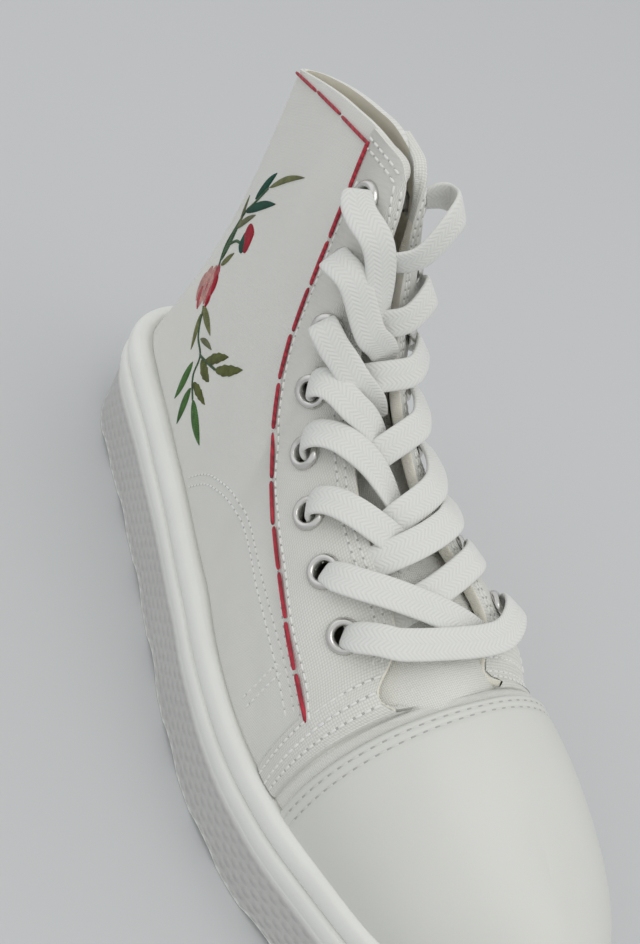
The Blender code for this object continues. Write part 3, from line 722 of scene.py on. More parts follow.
def feed(tree, socket, value):
    """Sets a socket, or links another to it."""
    if isinstance(value, bpy.types.NodeSocket):
        tree.links.new(value, socket)
    elif value is not None:
        socket.default_value = value


def calc(tree, operation, *values):
    """A math node's result."""
    node = tree.nodes.new("ShaderNodeMath")
    node.operation = operation
    for socket, value in zip(node.inputs, values):
        feed(tree, socket, value)
    return node.outputs[0]


def add_node(tree, kind, inputs, **settings):
    """Outputs of a new node, with its settings and with values or links on its named inputs."""
    node = tree.nodes.new(kind)
    for label, value in settings.items():
        setattr(node, label, value)
    for label, value in inputs.items():
        feed(tree, node.inputs[label], value)
    return node.outputs


def axes(tree, vector):
    """A vector's X, Y and Z."""
    return add_node(tree, "ShaderNodeSeparateXYZ", {"Vector": vector})


def ribbed(tree, value, pitch):
    """Round ribs at a pitch, from 0 between them to 1 on their tops."""
    return calc(tree, "ABSOLUTE", calc(tree, "SINE", calc(tree, "MULTIPLY", value, math.pi / pitch)))


def blend(tree, factor, low, high):
    """Mix of two colours."""
    inputs = {"Factor": factor, "A": low, "B": high}
    return add_node(tree, "ShaderNodeMix", inputs, data_type="RGBA")["Result"]


def scaled(tree, value, factor):
    """A colour socket made darker by a factor."""
    inputs = {"Factor": 1.0, "A": value, "B": (factor, factor, factor, 1.0)}
    return add_node(tree, "ShaderNodeMix", inputs, data_type="RGBA", blend_type="MULTIPLY")["Result"]


def new_tree(name, kind, inputs, outputs):
    """Empty node group with named sockets, its inputs and its outputs."""
    tree = bpy.data.node_groups.new(name, kind)
    for way, sockets in (("INPUT", inputs), ("OUTPUT", outputs)):
        for label, socket in sockets.items():
            tree.interface.new_socket(label, in_out=way, socket_type="NodeSocket" + socket)
    return tree, tree.nodes.new("NodeGroupInput").outputs, tree.nodes.new("NodeGroupOutput").inputs


@lru_cache(maxsize=1)
def weave_group():
    """Crossing threads over the cloth map. Repeat 2 is a plain weave and 3 a twill."""
    sockets = {"Cloth": "Vector", "Thread": "Float", "Repeat": "Float"}
    tree, given, result = new_tree("crossing_threads", "ShaderNodeTree", sockets, {"Height": "Float"})
    cloth = axes(tree, given["Cloth"])
    along = calc(tree, "DIVIDE", cloth["X"], given["Thread"])
    across = calc(tree, "DIVIDE", cloth["Y"], given["Thread"])
    warp, weft = ribbed(tree, along, 1.0), ribbed(tree, across, 1.0)
    cell = calc(tree, "ADD", calc(tree, "FLOOR", along), calc(tree, "FLOOR", across))
    turn = calc(tree, "FRACT", calc(tree, "DIVIDE", cell, given["Repeat"]))
    swap = calc(tree, "GREATER_THAN", turn, 0.4)
    over = calc(tree, "MULTIPLY", warp, calc(tree, "MULTIPLY_ADD", weft, 0.45, 0.55))
    under = calc(tree, "MULTIPLY", weft, calc(tree, "MULTIPLY_ADD", warp, 0.45, 0.55))
    rise = calc(tree, "MULTIPLY", swap, calc(tree, "SUBTRACT", under, over))
    tree.links.new(calc(tree, "ADD", over, rise), result["Height"])
    return tree


@lru_cache(maxsize=1)
def soil_group():
    """Soft uneven patches, for faint soiling and the mottle of cloth and rubber."""
    sockets = {"Where": "Vector", "Scale": "Float", "Amount": "Float"}
    tree, given, result = new_tree("soft_soil", "ShaderNodeTree", sockets, {"Patches": "Float"})
    clouds = {"Vector": given["Where"], "Scale": given["Scale"], "Detail": 3.0, "Roughness": 0.6}
    noise = add_node(tree, "ShaderNodeTexNoise", clouds)["Fac"]
    spread = {"Value": noise, "From Min": 0.35, "From Max": 0.75}
    patches = add_node(tree, "ShaderNodeMapRange", spread)["Result"]
    tree.links.new(calc(tree, "MULTIPLY", patches, given["Amount"]), result["Patches"])
    return tree


def place_group(tree, group, values):
    """Puts a group into a material with its own values."""
    return add_node(tree, "ShaderNodeGroup", values, node_tree=group)[0]


def soil(tree, scale, amount):
    """Soft uneven patches over the whole shoe."""
    return place_group(tree, soil_group(), {"Where": object_map(tree), "Scale": scale, "Amount": amount})


def new_finish(name, colour_value, roughness, metallic=0.0, sheen=0.0, coat=0.0):
    """Material with its shader, ready for patterns."""
    finish = bpy.data.materials.new(name)
    finish.use_nodes = True
    shader = finish.node_tree.nodes["Principled BSDF"]
    values = {
        "Base Color": shade(colour_value),
        "Roughness": roughness,
        "Metallic": metallic,
        "Sheen Weight": sheen,
        "Sheen Roughness": 0.5,
        "Coat Weight": coat,
        "Coat Roughness": 0.3,
    }
    for label, value in values.items():
        shader.inputs[label].default_value = value
    return finish, finish.node_tree, shader


def raise_height(tree, shader, height, distance, strength):
    """Feeds a height to the shader's normal."""
    bump = add_node(tree, "ShaderNodeBump", {"Strength": strength, "Distance": distance, "Height": height})
    tree.links.new(bump["Normal"], shader.inputs["Normal"])


def cloth_map(tree):
    """The piece's own map, in metres along and across the weave."""
    return add_node(tree, "ShaderNodeUVMap", {}, uv_map="cloth")["UV"]


def object_map(tree):
    """Places on the whole shoe."""
    return add_node(tree, "ShaderNodeTexCoord", {})["Object"]


def shade(colour_value, factor=1.0):
    """A colour with its alpha, made darker by a factor."""
    return (*(c * factor for c in colour_value), 1.0)


def woven_finish(name, colour_value, thread, repeat, depth=0.12 * MM, thread_shade=0.88, patches=0.5):
    """Woven cotton with painted shade between its threads, and faintly uneven in tone."""
    finish, tree, shader = new_finish(name, colour_value, 0.86, sheen=0.12)
    height = place_group(tree, weave_group(), {"Cloth": cloth_map(tree), "Thread": thread, "Repeat": repeat})
    clean = blend(tree, soil(tree, 38.0, patches), shade(colour_value), shade(colour_value, 0.94))
    # Painted shade: the colour is drawn darker where the threads dip between each other.
    tree.links.new(blend(tree, height, scaled(tree, clean, thread_shade), clean), shader.inputs["Base Color"])
    raise_height(tree, shader, height, depth, 0.6)
    return finish


@lru_cache(maxsize=None)
def canvas():
    """White twill of the upper and tongue."""
    thread = sizes().canvas_thread
    return woven_finish("white_twill", colours().canvas, thread, 3.0, depth=0.22 * MM, thread_shade=0.78)


@lru_cache(maxsize=None)
def facing_canvas():
    """Coarser plain weave of the eyestays."""
    thread = sizes().facing_thread
    return woven_finish("eyestay_canvas", colours().facing, thread, 2.0, depth=0.2 * MM, thread_shade=0.8)


@lru_cache(maxsize=None)
def lining():
    """Beige cotton inside the shoe."""
    return woven_finish("beige_lining", colours().lining, sizes().canvas_thread, 2.0)


@lru_cache(maxsize=None)
def coated_toe():
    """Smooth coated leather with a fine grain and a soft sheen."""
    finish, tree, shader = new_finish("coated_toe", colours().coated, 0.42, coat=0.12)
    cells = {"Vector": object_map(tree), "Scale": 950.0}
    grain = add_node(tree, "ShaderNodeTexVoronoi", cells, feature="SMOOTH_F1")["Distance"]
    raise_height(tree, shader, grain, 0.05 * MM, 0.35)
    tone = blend(tree, soil(tree, 30.0, 0.5), shade(colours().coated), shade(colours().coated, 0.95))
    tree.links.new(tone, shader.inputs["Base Color"])
    return finish


@lru_cache(maxsize=None)
def plain_rubber():
    """White moulded rubber with a faint mottle."""
    finish, tree, shader = new_finish("white_rubber", colours().rubber, 0.5)
    tone = blend(tree, soil(tree, 45.0, 0.6), shade(colours().rubber), shade(colours().rubber, 0.93))
    tree.links.new(tone, shader.inputs["Base Color"])
    return finish


# Pebbles: height of a row as a share of their pitch, and the band above the floor that they fill and fade in
PEBBLE_ROW = 0.62
PEBBLE_LOW = 1.0 * MM
PEBBLE_HIGH = 22.6 * MM
PEBBLE_FADE_LOW = 0.6 * MM
PEBBLE_FADE_HIGH = 2.6 * MM


@lru_cache(maxsize=None)
def pebbled_rubber():
    """White rubber with rows of low pebbles along the side, between a lip and the bead, where the band is
    drawn darker as painted shade.
    """
    finish, tree, shader = new_finish("pebbled_rubber", colours().rubber, 0.55)
    side = axes(tree, cloth_map(tree))
    pitch = sizes().pebble_pitch
    level = calc(tree, "DIVIDE", side["Y"], pitch * PEBBLE_ROW)
    shift = calc(tree, "MULTIPLY", calc(tree, "MODULO", calc(tree, "FLOOR", level), 2.0), 0.5)
    along = calc(tree, "FRACT", calc(tree, "ADD", calc(tree, "DIVIDE", side["X"], pitch), shift))
    sideways = calc(tree, "SUBTRACT", along, 0.5)
    upwards = calc(tree, "MULTIPLY", calc(tree, "SUBTRACT", calc(tree, "FRACT", level), 0.5), PEBBLE_ROW)
    away = calc(tree, "ADD", calc(tree, "POWER", sideways, 2.0), calc(tree, "POWER", upwards, 2.0))
    dome = calc(tree, "MAXIMUM", calc(tree, "SUBTRACT", 1.0, calc(tree, "DIVIDE", away, 0.2)), 0.0)
    band = pebble_band(tree, side["Y"])
    raise_height(tree, shader, calc(tree, "MULTIPLY", calc(tree, "POWER", dome, 2.0), band), 0.8 * MM, 0.55)
    # Painted shade: the pebbled band takes the darker colour, as the platform's side there faces down.
    tone = blend(tree, band, shade(colours().rubber), shade(colours().pebbled_shade))
    tone = blend(tree, soil(tree, 45.0, 0.6), tone, scaled(tree, tone, 0.94))
    tree.links.new(tone, shader.inputs["Base Color"])
    return finish


def pebble_band(tree, level):
    """Mask of the pebbled band, for its pebbles and its painted shade: 1 between the lip and the smooth bead.
    """
    above = calc(tree, "DIVIDE", calc(tree, "SUBTRACT", level, PEBBLE_LOW), PEBBLE_FADE_LOW)
    below = calc(tree, "DIVIDE", calc(tree, "SUBTRACT", PEBBLE_HIGH, level), PEBBLE_FADE_HIGH)
    rise, fall = (calc(tree, "SMOOTH_MIN", share, 1.0, 0.1) for share in (above, below))
    return calc(tree, "MAXIMUM", calc(tree, "MULTIPLY", rise, calc(tree, "MAXIMUM", fall, 0.0)), 0.0)


@lru_cache(maxsize=None)
def lace_cotton():
    """Flat cotton braid: columns of slanting ribs that meet in small points, with painted shade in the
    grooves between the ribs.
    """
    finish, tree, shader = new_finish("lace_cotton", colours().lace, 0.85, sheen=0.12)
    braid = axes(tree, cloth_map(tree))
    column = calc(tree, "PINGPONG", braid["Y"], 2.15 * MM)
    rib = ribbed(tree, calc(tree, "MULTIPLY_ADD", column, 0.9, braid["X"]), sizes().lace_thread)
    dip = calc(tree, "SMOOTH_MIN", calc(tree, "DIVIDE", column, 0.5 * MM), 1.0, 0.4)
    height = calc(tree, "MULTIPLY", rib, calc(tree, "MULTIPLY_ADD", dip, 0.5, 0.5))
    # Painted shade: the braid is drawn darker in the grooves between its ribs.
    tone = blend(tree, height, shade(colours().lace, 0.935), shade(colours().lace))
    tree.links.new(tone, shader.inputs["Base Color"])
    raise_height(tree, shader, height, 0.2 * MM, 0.5)
    return finish


@lru_cache(maxsize=None)
def eyelet_metal():
    """Bright rolled metal."""
    return new_finish("rolled_nickel", colours().metal, 0.24, metallic=1.0)[0]


@lru_cache(maxsize=None)
def running_thread():
    """Coloured thread, with painted shade in the grooves where its strands twist and a random darker mottle.
    """
    finish, tree, shader = new_finish("running_thread", colours().running, 0.65, sheen=0.1)
    shoe = axes(tree, object_map(tree))
    ply = ribbed(tree, calc(tree, "MULTIPLY_ADD", shoe["X"], 0.25, shoe["Z"]), 1.5 * MM)
    tone = blend(tree, soil(tree, 620.0, 1.0), shade(colours().running), shade(colours().running, 0.5))
    # Painted shade: the thread is drawn darker in the grooves between its twisted strands.
    tone = blend(tree, ply, scaled(tree, tone, 0.55), tone)
    tree.links.new(tone, shader.inputs["Base Color"])
    raise_height(tree, shader, ply, 0.25 * MM, 0.7)
    return finish


@lru_cache(maxsize=None)
def seam_thread():
    """White thread of the machine seams."""
    return new_finish("seam_thread", colours().thread, 0.7, sheen=0.1)[0]


@lru_cache(maxsize=None)
def edge_tape():
    """Cream tape folded round the throat's edge."""
    return woven_finish("edge_tape", colours().tape, sizes().canvas_thread, 1.0, thread_shade=0.93, patches=0.4)


@lru_cache(maxsize=None)
def needle_hole_shade():
    """Painted shadow of a needle hole: a dark mark where the hole's shade falls."""
    return new_finish("needle_hole_shade", shade(colours().coated, 0.66)[:3], 0.9)[0]


# Sole

SOLE_COLUMNS = 900

# Side of the tread, from the floor up: height in millimetres, and share of the margin that it has drawn in
TREAD_ROWS = ((0, 0.14), (0.25, 0.04), (0.7, 0), (1.1, 0), (1.5, 0.035), (2.6, 0.05), (5.2, 0.08))
TREAD_TOP = TREAD_ROWS[-1][0] * MM
PLATFORM_FLARE = 0.02
PLATFORM_SPACING = 0.02
WELT_SPACING = 0.05

# Inner face of the welt, from the top down: shares of its height, and its distance from the upper
WELT_INNER = (0.94, 0.5, 0.0)
WELT_CLEARANCE = 0.05 * MM
WELT_WELD = 0.001 * MM


def sole_ring():
    """Even places round the sole, the heel's back first."""
    fine = np.linspace(0, 1, 4000, endpoint=False)
    along = arc_lengths(np.concatenate([sole_edge(fine, 0.0), sole_edge(fine[:1], 0.0)]))
    side = len(fine) // 2 + 1
    half = np.interp(np.linspace(0, along[side - 1], SOLE_COLUMNS // 2 + 1), along[:side], fine[:side])
    return np.concatenate([half, 1 - half[-2:0:-1]])


def ladder(start, count, flip):
    """Faces across a ring, from its lateral side to its medial side."""
    half = count // 2
    faces = [(start, start + 1, start + count - 1)]
    for i in range(1, half - 1):
        faces.append((start + i, start + i + 1, start + count - i - 1, start + count - i))
    faces.append((start + half - 1, start + half, start + half + 1))
    return [face[::-1] for face in faces] if flip else faces


def scallop(x):
    """How far the ground face has drawn up from the floor at x, by the shallow scallops across it."""
    radius = SCALLOP_WIDTH**2 / (8 * SCALLOP_DEPTH) + SCALLOP_DEPTH / 2
    centres = SCALLOP_FIRST + SCALLOP_PITCH * np.arange(SCALLOP_COUNT)
    away = np.abs(x[:, None] - centres[None]).min(axis=1)
    arch = np.sqrt(np.maximum(radius**2 - away**2, 0.0)) - radius + SCALLOP_DEPTH
    return np.maximum(arch, 0.0)


def ring_stack(name, rings, levels, finish):
    """Closed body through rings of the sole, mapped by its metres from the heel's back and up the side."""
    count = len(rings[0])
    points = on_shoe(np.concatenate(rings))
    along = arc_lengths(rings[0])
    along = np.minimum(along, along[-1] + along[1] - along)
    cloth = np.concatenate([np.column_stack([along, np.full(count, level)]) for level in levels])
    sides = loop_faces(len(rings), count)[:, ::-1]
    faces = list(sides) + ladder(0, count, flip=True) + ladder((len(rings) - 1) * count, count, flip=False)
    piece = add_mesh(name, finish, points, faces, cloth)
    piece.data.set_sharp_from_angle(angle=math.radians(60))
    return piece


class SNEAKER_OT_sole(Operator):
    """Tread with its scallops and lip, the pebbled platform with its bead, and the welt"""

    bl_idname = "sneaker.sole"
    bl_label = "Sole"

    def execute(self, context):
        places = sole_ring()
        rings, levels = [], []
        for height, inset in TREAD_ROWS:
            plan = sole_edge(places, inset)
            low = scallop(plan[:, 0]) + toe_rise(plan[:, 0])
            top = toe_rise(plan[:, 0]) + TREAD_TOP
            rings.append(np.column_stack([plan, low + (top - low) * (height * MM / TREAD_TOP)]))
            levels.append(height * MM)
        dress(ring_stack("tread", rings, levels, pebbled_rubber()), "sole_rubber", "outsole")
        rings, levels = [], []
        for share, inset in smooth_path(PLATFORM_STEPS, PLATFORM_SPACING):
            plan = sole_edge(places, inset - PLATFORM_FLARE * (1 - share))
            low = toe_rise(plan[:, 0]) + TREAD_TOP
            height = deck(plan[:, 0]) - low
            rings.append(np.column_stack([plan, low + height * share]))
            levels.append(TREAD_TOP + float(height.mean()) * share)
        dress(ring_stack("platform", rings, levels, pebbled_rubber()), "sole_rubber", "midsole")
        self.make_welt(places)
        return {"FINISHED"}

    def make_welt(self, places):
        rings = []
        for share, inset in smooth_path(WELT_STEPS, WELT_SPACING):
            plan = sole_edge(places, inset)
            rings.append(np.column_stack([plan, deck(plan[:, 0]) + GAP + (WELT_RISE - GAP) * share]))
        for share in WELT_INNER:
            climbs = climb_above_deck(places, GAP + (WELT_RISE - GAP) * share)
            plan = lifted(places, climbs[:, None], WELT_CLEARANCE)[:, 0, :2]
            rings.append(np.column_stack([plan, deck(plan[:, 0]) + GAP + (WELT_RISE - GAP) * share]))
        rings.append(rings[0])
        points = on_shoe(np.concatenate(rings))
        faces = loop_faces(len(rings), len(places))[:, ::-1]
        welt = add_mesh("welt_strip", plain_rubber(), points, faces, weld=WELT_WELD)
        dress(welt, "sole_rubber", "welt")


# Upper


def eyelet_centres():
    """Centres on the eyestays' faces and axes of all eyelets, lateral side first."""
    sides = [on_flap(EYELET_LENGTHS, 0.0, medial, EYESTAY_FACE) for medial in SIDES.values()]
    return on_shoe(np.concatenate([s[0] for s in sides])), np.concatenate([s[1] for s in sides])


def open_eyelets(piece):
    """Takes the faces out of a sheet where the eyelets' barrels pass."""
    edit = bmesh.new()
    edit.from_mesh(piece.data)
    middles = np.array([face.calc_center_median() for face in edit.faces])
    inside = np.zeros(len(middles), bool)
    for centre, axis in zip(*eyelet_centres()):
        offset = middles - centre
        along = offset @ axis
        away = np.linalg.norm(offset - along[:, None] * axis, axis=1)
        inside |= (away < EYELET_HOLE) & (np.abs(along) < EYELET_REACH)
    edit.faces.ensure_lookup_table()
    doomed = [edit.faces[i] for i in np.nonzero(inside)[0]]
    bmesh.ops.delete(edit, geom=doomed, context="FACES")
    edit.to_mesh(piece.data)
    edit.free()


class SNEAKER_OT_upper(Operator):
    """Canvas shell with its lining and soft creases"""

    bl_idname = "sneaker.upper"
    bl_label = "Upper"

    def execute(self, context):
        shell = skin_sheet("canvas_upper", canvas(), SKIN_PLACES, SKIN_CLIMBS, 0.0)
        open_eyelets(shell)
        shell.data.materials.append(lining())
        thicken(shell, WALL, inner=1).material_offset_rim = 0
        soften(shell, RIM)
        dress(shell, "canvas", "upper")
        return {"FINISHED"}


# Footbed, from its underside up: height, and how far it draws in from the lining, in millimetres
INSOLE_ROWS = ((0.0, 0.3), (3.4, 0.0), (4.0, 0.6))


class SNEAKER_OT_insole(Operator):
    """Footbed inside the upper"""

    bl_idname = "sneaker.insole"
    bl_label = "Insole"

    def execute(self, context):
        places = sole_ring()[::3]
        places = np.concatenate([places[places <= 0.5], 1 - places[places <= 0.5][-2:0:-1]])
        rings = []
        for height, inset in INSOLE_ROWS:
            level = GAP + height * MM
            climbs = climb_above_deck(places, level)
            plan = lifted(places, climbs[:, None], -(WALL + 3 * GAP + inset * MM))[:, 0, :2]
            rings.append(np.column_stack([plan, deck(plan[:, 0]) + level]))
        footbed = ring_stack("footbed", rings, [height * MM for height, _ in INSOLE_ROWS], lining())
        dress(footbed, "lining", "insole")
        return {"FINISHED"}


# Toe cap: share of the way from its rear edge to the toe-box rib, and lift over the upper in millimetres
CAP_ROWS = (
    (0.0, 0.10), (0.010, 0.95), (0.028, 1.40), (0.060, 1.58), (0.082, 1.48), (0.100, 1.22), (0.118, 1.48),
    (0.155, 1.58), (0.192, 1.46), (0.210, 1.20), (0.228, 1.46), (0.300, 1.58), (0.480, 1.60), (0.620, 1.60),
    (0.800, 1.60),
)
CAP_LIFT = 1.60
CAP_STEPS = 8
CAP_CLIMBS = 44

# The cap reaches this far below the welt's top, and its seams end as far above it
CAP_LAP = 1.0 * MM


def cap_place(share):
    """Place at a share of the way from the cap's rear edge to the toe-box rib."""
    start = KNOTS[ROW["cap_seam"]]
    return start + share * (KNOTS[ROW["toe_box"]] - start)


class SNEAKER_OT_toe_cap(Operator):
    """Coated toe cap with its turned rear edge and the grooves of its two seams"""

    bl_idname = "sneaker.toe_cap"
    bl_label = "Toe cap"

    def execute(self, context):
        rear = np.array([cap_place(share) for share, _ in CAP_ROWS])
        ahead = steps_between("toe_box", "toe_tip", CAP_STEPS)
        places = np.concatenate([rear, ahead])
        lifts = np.concatenate([[lift for _, lift in CAP_ROWS], np.full(len(ahead), CAP_LIFT)]) * MM
        low = climb_above_deck(places, WELT_RISE - CAP_LAP)[:, None]
        climbs = low + (1 - low) * np.linspace(0, 1, CAP_CLIMBS)[None, :]
        cap = skin_sheet("coated_cap", coated_toe(), places, climbs, lifts[:, None, None])
        dress(cap, "coated_toe", "toe_cap")
        return {"FINISHED"}


# Eyestay: share of the way from its rear line to the throat's edge, and lift over the upper in millimetres
FACING_ROWS = ((0.0, 0.05), (0.01, 0.70), (0.04, 1.20), (0.10, 1.45))
FACING_LIFT = 1.45 * MM
FACING_STEPS = 9
FACING_FLAT = np.linspace(0.14, 1.0, 24)
FACING_EDGE_OUT = 0.55 * MM

# From the collar down, the fold of the facing grows to its full roll, the tape begins, and its end dies away
FOLD_GROWTH = 12.0 * MM
FOLD_END = 7.0 * MM
FOLD_LEAST = 0.12
FOLD_BASE = 0.97
FOLD_TURNS = np.radians(np.linspace(75, -90, 8))
FOLD_INSIDE = (1.2 * MM, 2.4 * MM)
TAPE_START = 30.0 * MM


class SNEAKER_OT_eyestays(Operator):
    """Coarser facings along the throat, folded round its edge"""

    bl_idname = "sneaker.eyestays"
    bl_label = "Eyestays"

    def execute(self, context):
        for side, medial in SIDES.items():
            dress(self.make_facing(medial, side), "canvas", f"eyestay_{side}")
        return {"FINISHED"}

    def make_facing(self, medial, side):
        places, low = eyestay_places(FACING_STEPS)
        rear = np.array(FACING_ROWS)
        shares = np.concatenate([rear[:, 0], FACING_FLAT])
        lifts = np.concatenate([rear[:, 1] * MM, np.full(len(FACING_FLAT), FACING_LIFT)])
        grid = skin_grid(places, low + (1 - low) * shares[None, :], lifts[None, :, None], medial)[0]
        roll, along = self.roll_edge(grid[:, -1:], 1 - places if medial else places)
        taped = int(np.searchsorted(along, TAPE_START))
        dress(self.make_sheet(f"collar_fold_{side}", roll[: taped + 1], medial, facing_canvas()), "canvas")
        dress(self.make_sheet(f"throat_tape_{side}", roll[taped:], medial, edge_tape()), "canvas")
        facing = self.make_sheet(f"facing_{side}", grid, medial, facing_canvas())
        open_eyelets(facing)
        return facing

    def roll_edge(self, start, ribs):
        """Grid that carries the facing on round the throat's edge, and metres along that edge."""
        top = np.ones((1, 1))
        edge = on_shoe(rib_points(ribs, top)[:, 0])
        normal = rib_normals(ribs, top)[:, 0]
        beyond = unit(edge - on_shoe(rib_points(ribs, FOLD_BASE * top)[:, 0]))
        depth = WALL + GAP
        middle = (FACING_LIFT - depth) / 2
        reach = (FACING_LIFT + depth) / 2
        along = arc_lengths(edge)
        grown = np.minimum(along / FOLD_GROWTH, (along[-1] - along) / FOLD_END)
        grown = np.clip(grown, FOLD_LEAST, 1.0)[:, None]
        grown = grown * grown * (3 - 2 * grown)
        rolls = []
        for turn in FOLD_TURNS:
            out = beyond * FACING_EDGE_OUT * math.cos(turn) + normal * (middle + reach * math.sin(turn))
            rolls.append(edge + out * grown)
        for inward in FOLD_INSIDE:
            rolls.append(edge - (beyond * inward + normal * depth) * grown)
        return np.concatenate([start, np.stack(rolls, axis=1)], axis=1), along

    def make_sheet(self, name, grid, medial, finish):
        along = arc_lengths(grid[:, 0])[:, None]
        return add_mesh(name, finish, *grid_sheet(grid, along, arc_lengths(grid, axis=1), medial))


class SNEAKER_OT_tongue(Operator):
    """Soft tongue under the lace, with a shallow fold at its root"""

    bl_idname = "sneaker.tongue"
    bl_label = "Tongue"

    def execute(self, context):
        across = np.linspace(-1, 1, TONGUE_COLUMNS)[None, :, None]
        lengths = np.linspace(0, TONGUE_LENGTH, TONGUE_ROWS)
        depth = -(WALL + EYELET_DEPTH + TONGUE_CLEARANCE)
        left, left_normals = on_flap(lengths, 0.0, False, depth)
        right, right_normals = on_flap(lengths, 0.0, True, depth)
        outward = unit(left_normals + right_normals)
        arch = TONGUE_ARCH * (1 - lengths / TONGUE_LENGTH) ** 1.5
        sections = left[:, None] * (1 - across) / 2 + right[:, None] * (1 + across) / 2
        sections = sections + (outward * arch[:, None])[:, None] * (1 - across**2) ** 1.3
        tuck = TONGUE_ROOT_ROWS[:, None, None]
        middle = sections[:1].mean(axis=1, keepdims=True)
        forward = np.array([TONGUE_ROOT, 0.0, 0.0])
        down = np.array([0.0, 0.0, TONGUE_ROOT_DROP])
        narrow = 1 - TONGUE_ROOT_NARROWING * tuck
        tucked = middle + (sections[:1] - middle) * narrow + forward * tuck - down * tuck**2
        grid = on_shoe(np.concatenate([tucked, sections]))
        along = arc_lengths(grid[:, grid.shape[1] // 2])[:, None]
        tongue = add_mesh("soft_tongue", canvas(), *grid_sheet(grid, arc_lengths(grid, axis=1), along))
        thicken(tongue, TONGUE_THICKNESS)
        soften(tongue, RIM)
        dress(tongue, "canvas", "tongue")
        return {"FINISHED"}


# Eyelets

# Turned section of an eyelet: radius and height above the eyestay's face, in millimetres
EYELET_ROWS = (
    (2.6, -3.7), (2.6, 0.4), (2.75, 1.0), (3.1, 1.45), (3.65, 1.65), (4.2, 1.45), (4.65, 0.95),
    (4.9, 0.35), (4.8, -0.1),
)
EYELET_SIDES = 28


def finish_tree(tree, instances, finish, result):
    """Ends a tree with real geometry and its material."""
    real = add_node(tree, "GeometryNodeRealizeInstances", {"Geometry": instances})
    paint = add_node(tree, "GeometryNodeSetMaterial", {"Geometry": real["Geometry"], "Material": finish})
    tree.links.new(paint["Geometry"], result["Geometry"])


def outward_vector(tree):
    """The outward direction that each point of a carrier mesh has with it."""
    kind = "GeometryNodeInputNamedAttribute"
    return add_node(tree, kind, {"Name": "outward"}, data_type="FLOAT_VECTOR")["Attribute"]


def aligned(tree, axis, vector, rotation=None, pivot="AUTO"):
    """Rotation that turns an axis to a vector."""
    inputs = {"Vector": vector, "Rotation": rotation}
    kind = "FunctionNodeAlignRotationToVector"
    return add_node(tree, kind, inputs, axis=axis, pivot_axis=pivot)["Rotation"]


@lru_cache(maxsize=1)
def seat_tree():
    """Sets one shape on every point of a mesh, turned along the point's outward direction."""
    sockets = {"Geometry": "Geometry", "Shape": "Object", "Finish": "Material"}
    tree, given, result = new_tree("set_on_seats", "GeometryNodeTree", sockets, {"Geometry": "Geometry"})
    shape = add_node(tree, "GeometryNodeObjectInfo", {"Object": given["Shape"]})["Geometry"]
    upright = aligned(tree, "Z", outward_vector(tree))
    seats = {"Points": given["Geometry"], "Instance": shape, "Rotation": upright}
    placed = add_node(tree, "GeometryNodeInstanceOnPoints", seats)
    finish_tree(tree, placed["Instances"], given["Finish"], result)
    return tree


@lru_cache(maxsize=1)
def stitch_tree():
    """Rows of stitches: one shape, scaled and laid along each line with its top outwards."""
    sockets = {"Geometry": "Geometry", "Shape": "Object", "Pitch": "Float"}
    sockets |= {"Length": "Float", "Width": "Float", "Height": "Float", "Finish": "Material"}
    tree, given, result = new_tree("stitch_rows", "GeometryNodeTree", sockets, {"Geometry": "Geometry"})
    curve = add_node(tree, "GeometryNodeMeshToCurve", {"Mesh": given["Geometry"]})["Curve"]
    spacing = {"Curve": curve, "Length": given["Pitch"]}
    even = add_node(tree, "GeometryNodeResampleCurve", spacing, mode="LENGTH")["Curve"]
    shape = add_node(tree, "GeometryNodeObjectInfo", {"Object": given["Shape"]})["Geometry"]
    size = {"X": given["Length"], "Y": given["Width"], "Z": given["Height"]}
    scale = add_node(tree, "ShaderNodeCombineXYZ", size)["Vector"]
    along = aligned(tree, "X", add_node(tree, "GeometryNodeInputTangent", {})["Tangent"])
    upright = aligned(tree, "Z", outward_vector(tree), rotation=along, pivot="X")
    stitches = {"Points": even, "Instance": shape, "Rotation": upright, "Scale": scale}
    placed = add_node(tree, "GeometryNodeInstanceOnPoints", stitches)
    finish_tree(tree, placed["Instances"], given["Finish"], result)
    return tree


# One stitch, one long: place along it and share of its girth, for its full middle and its drawn-in ends
STITCH_ROWS = ((-0.5, 0.4), (-0.48, 0.75), (-0.42, 0.96), (0.0, 1.0), (0.42, 0.96), (0.48, 0.75), (0.5, 0.4))
STITCH_SIDES = 6


def circle(sides):
    """Cosines and sines of even angles round a circle."""
    angles = np.linspace(0, 2 * math.pi, sides, endpoint=False)
    return np.cos(angles), np.sin(angles)


def stitch_shape(finish):
    """One stitch, one long, one wide and one high, with ends that sink into the cloth."""
    across, up = circle(STITCH_SIDES)
    rows = []
    for x, girth in STITCH_ROWS:
        sink = 0.16 * (abs(x) / 0.5) ** 6
        rows.append(np.column_stack([np.full(STITCH_SIDES, x), across / 2 * girth, up / 2 * girth - sink]))
    faces = [*loop_faces(len(rows), STITCH_SIDES)[:, ::-1], *end_faces(len(rows), STITCH_SIDES)]
    return add_mesh("one_stitch", finish, np.concatenate(rows), faces)


def run_tree(name, carrier, tree, values, finish):
    """Runs a tree on a carrier mesh and keeps the result as a plain mesh."""
    modifier = carrier.modifiers.new(name, "NODES")
    modifier.node_group = tree
    for item in tree.interface.items_tree:
        if item.in_out == "INPUT" and item.name in values:
            modifier[item.identifier] = values[item.name]
    graph = bpy.context.evaluated_depsgraph_get()
    mesh = bpy.data.meshes.new_from_object(carrier.evaluated_get(graph))
    mesh.name = name
    bpy.data.objects.remove(carrier)
    if not len(mesh.polygons):
        raise RuntimeError(f"{name} came out empty")
    if not mesh.materials:
        mesh.materials.append(finish)
    piece = bpy.data.objects.new(name, mesh)
    bpy.context.scene.collection.objects.link(piece)
    return piece


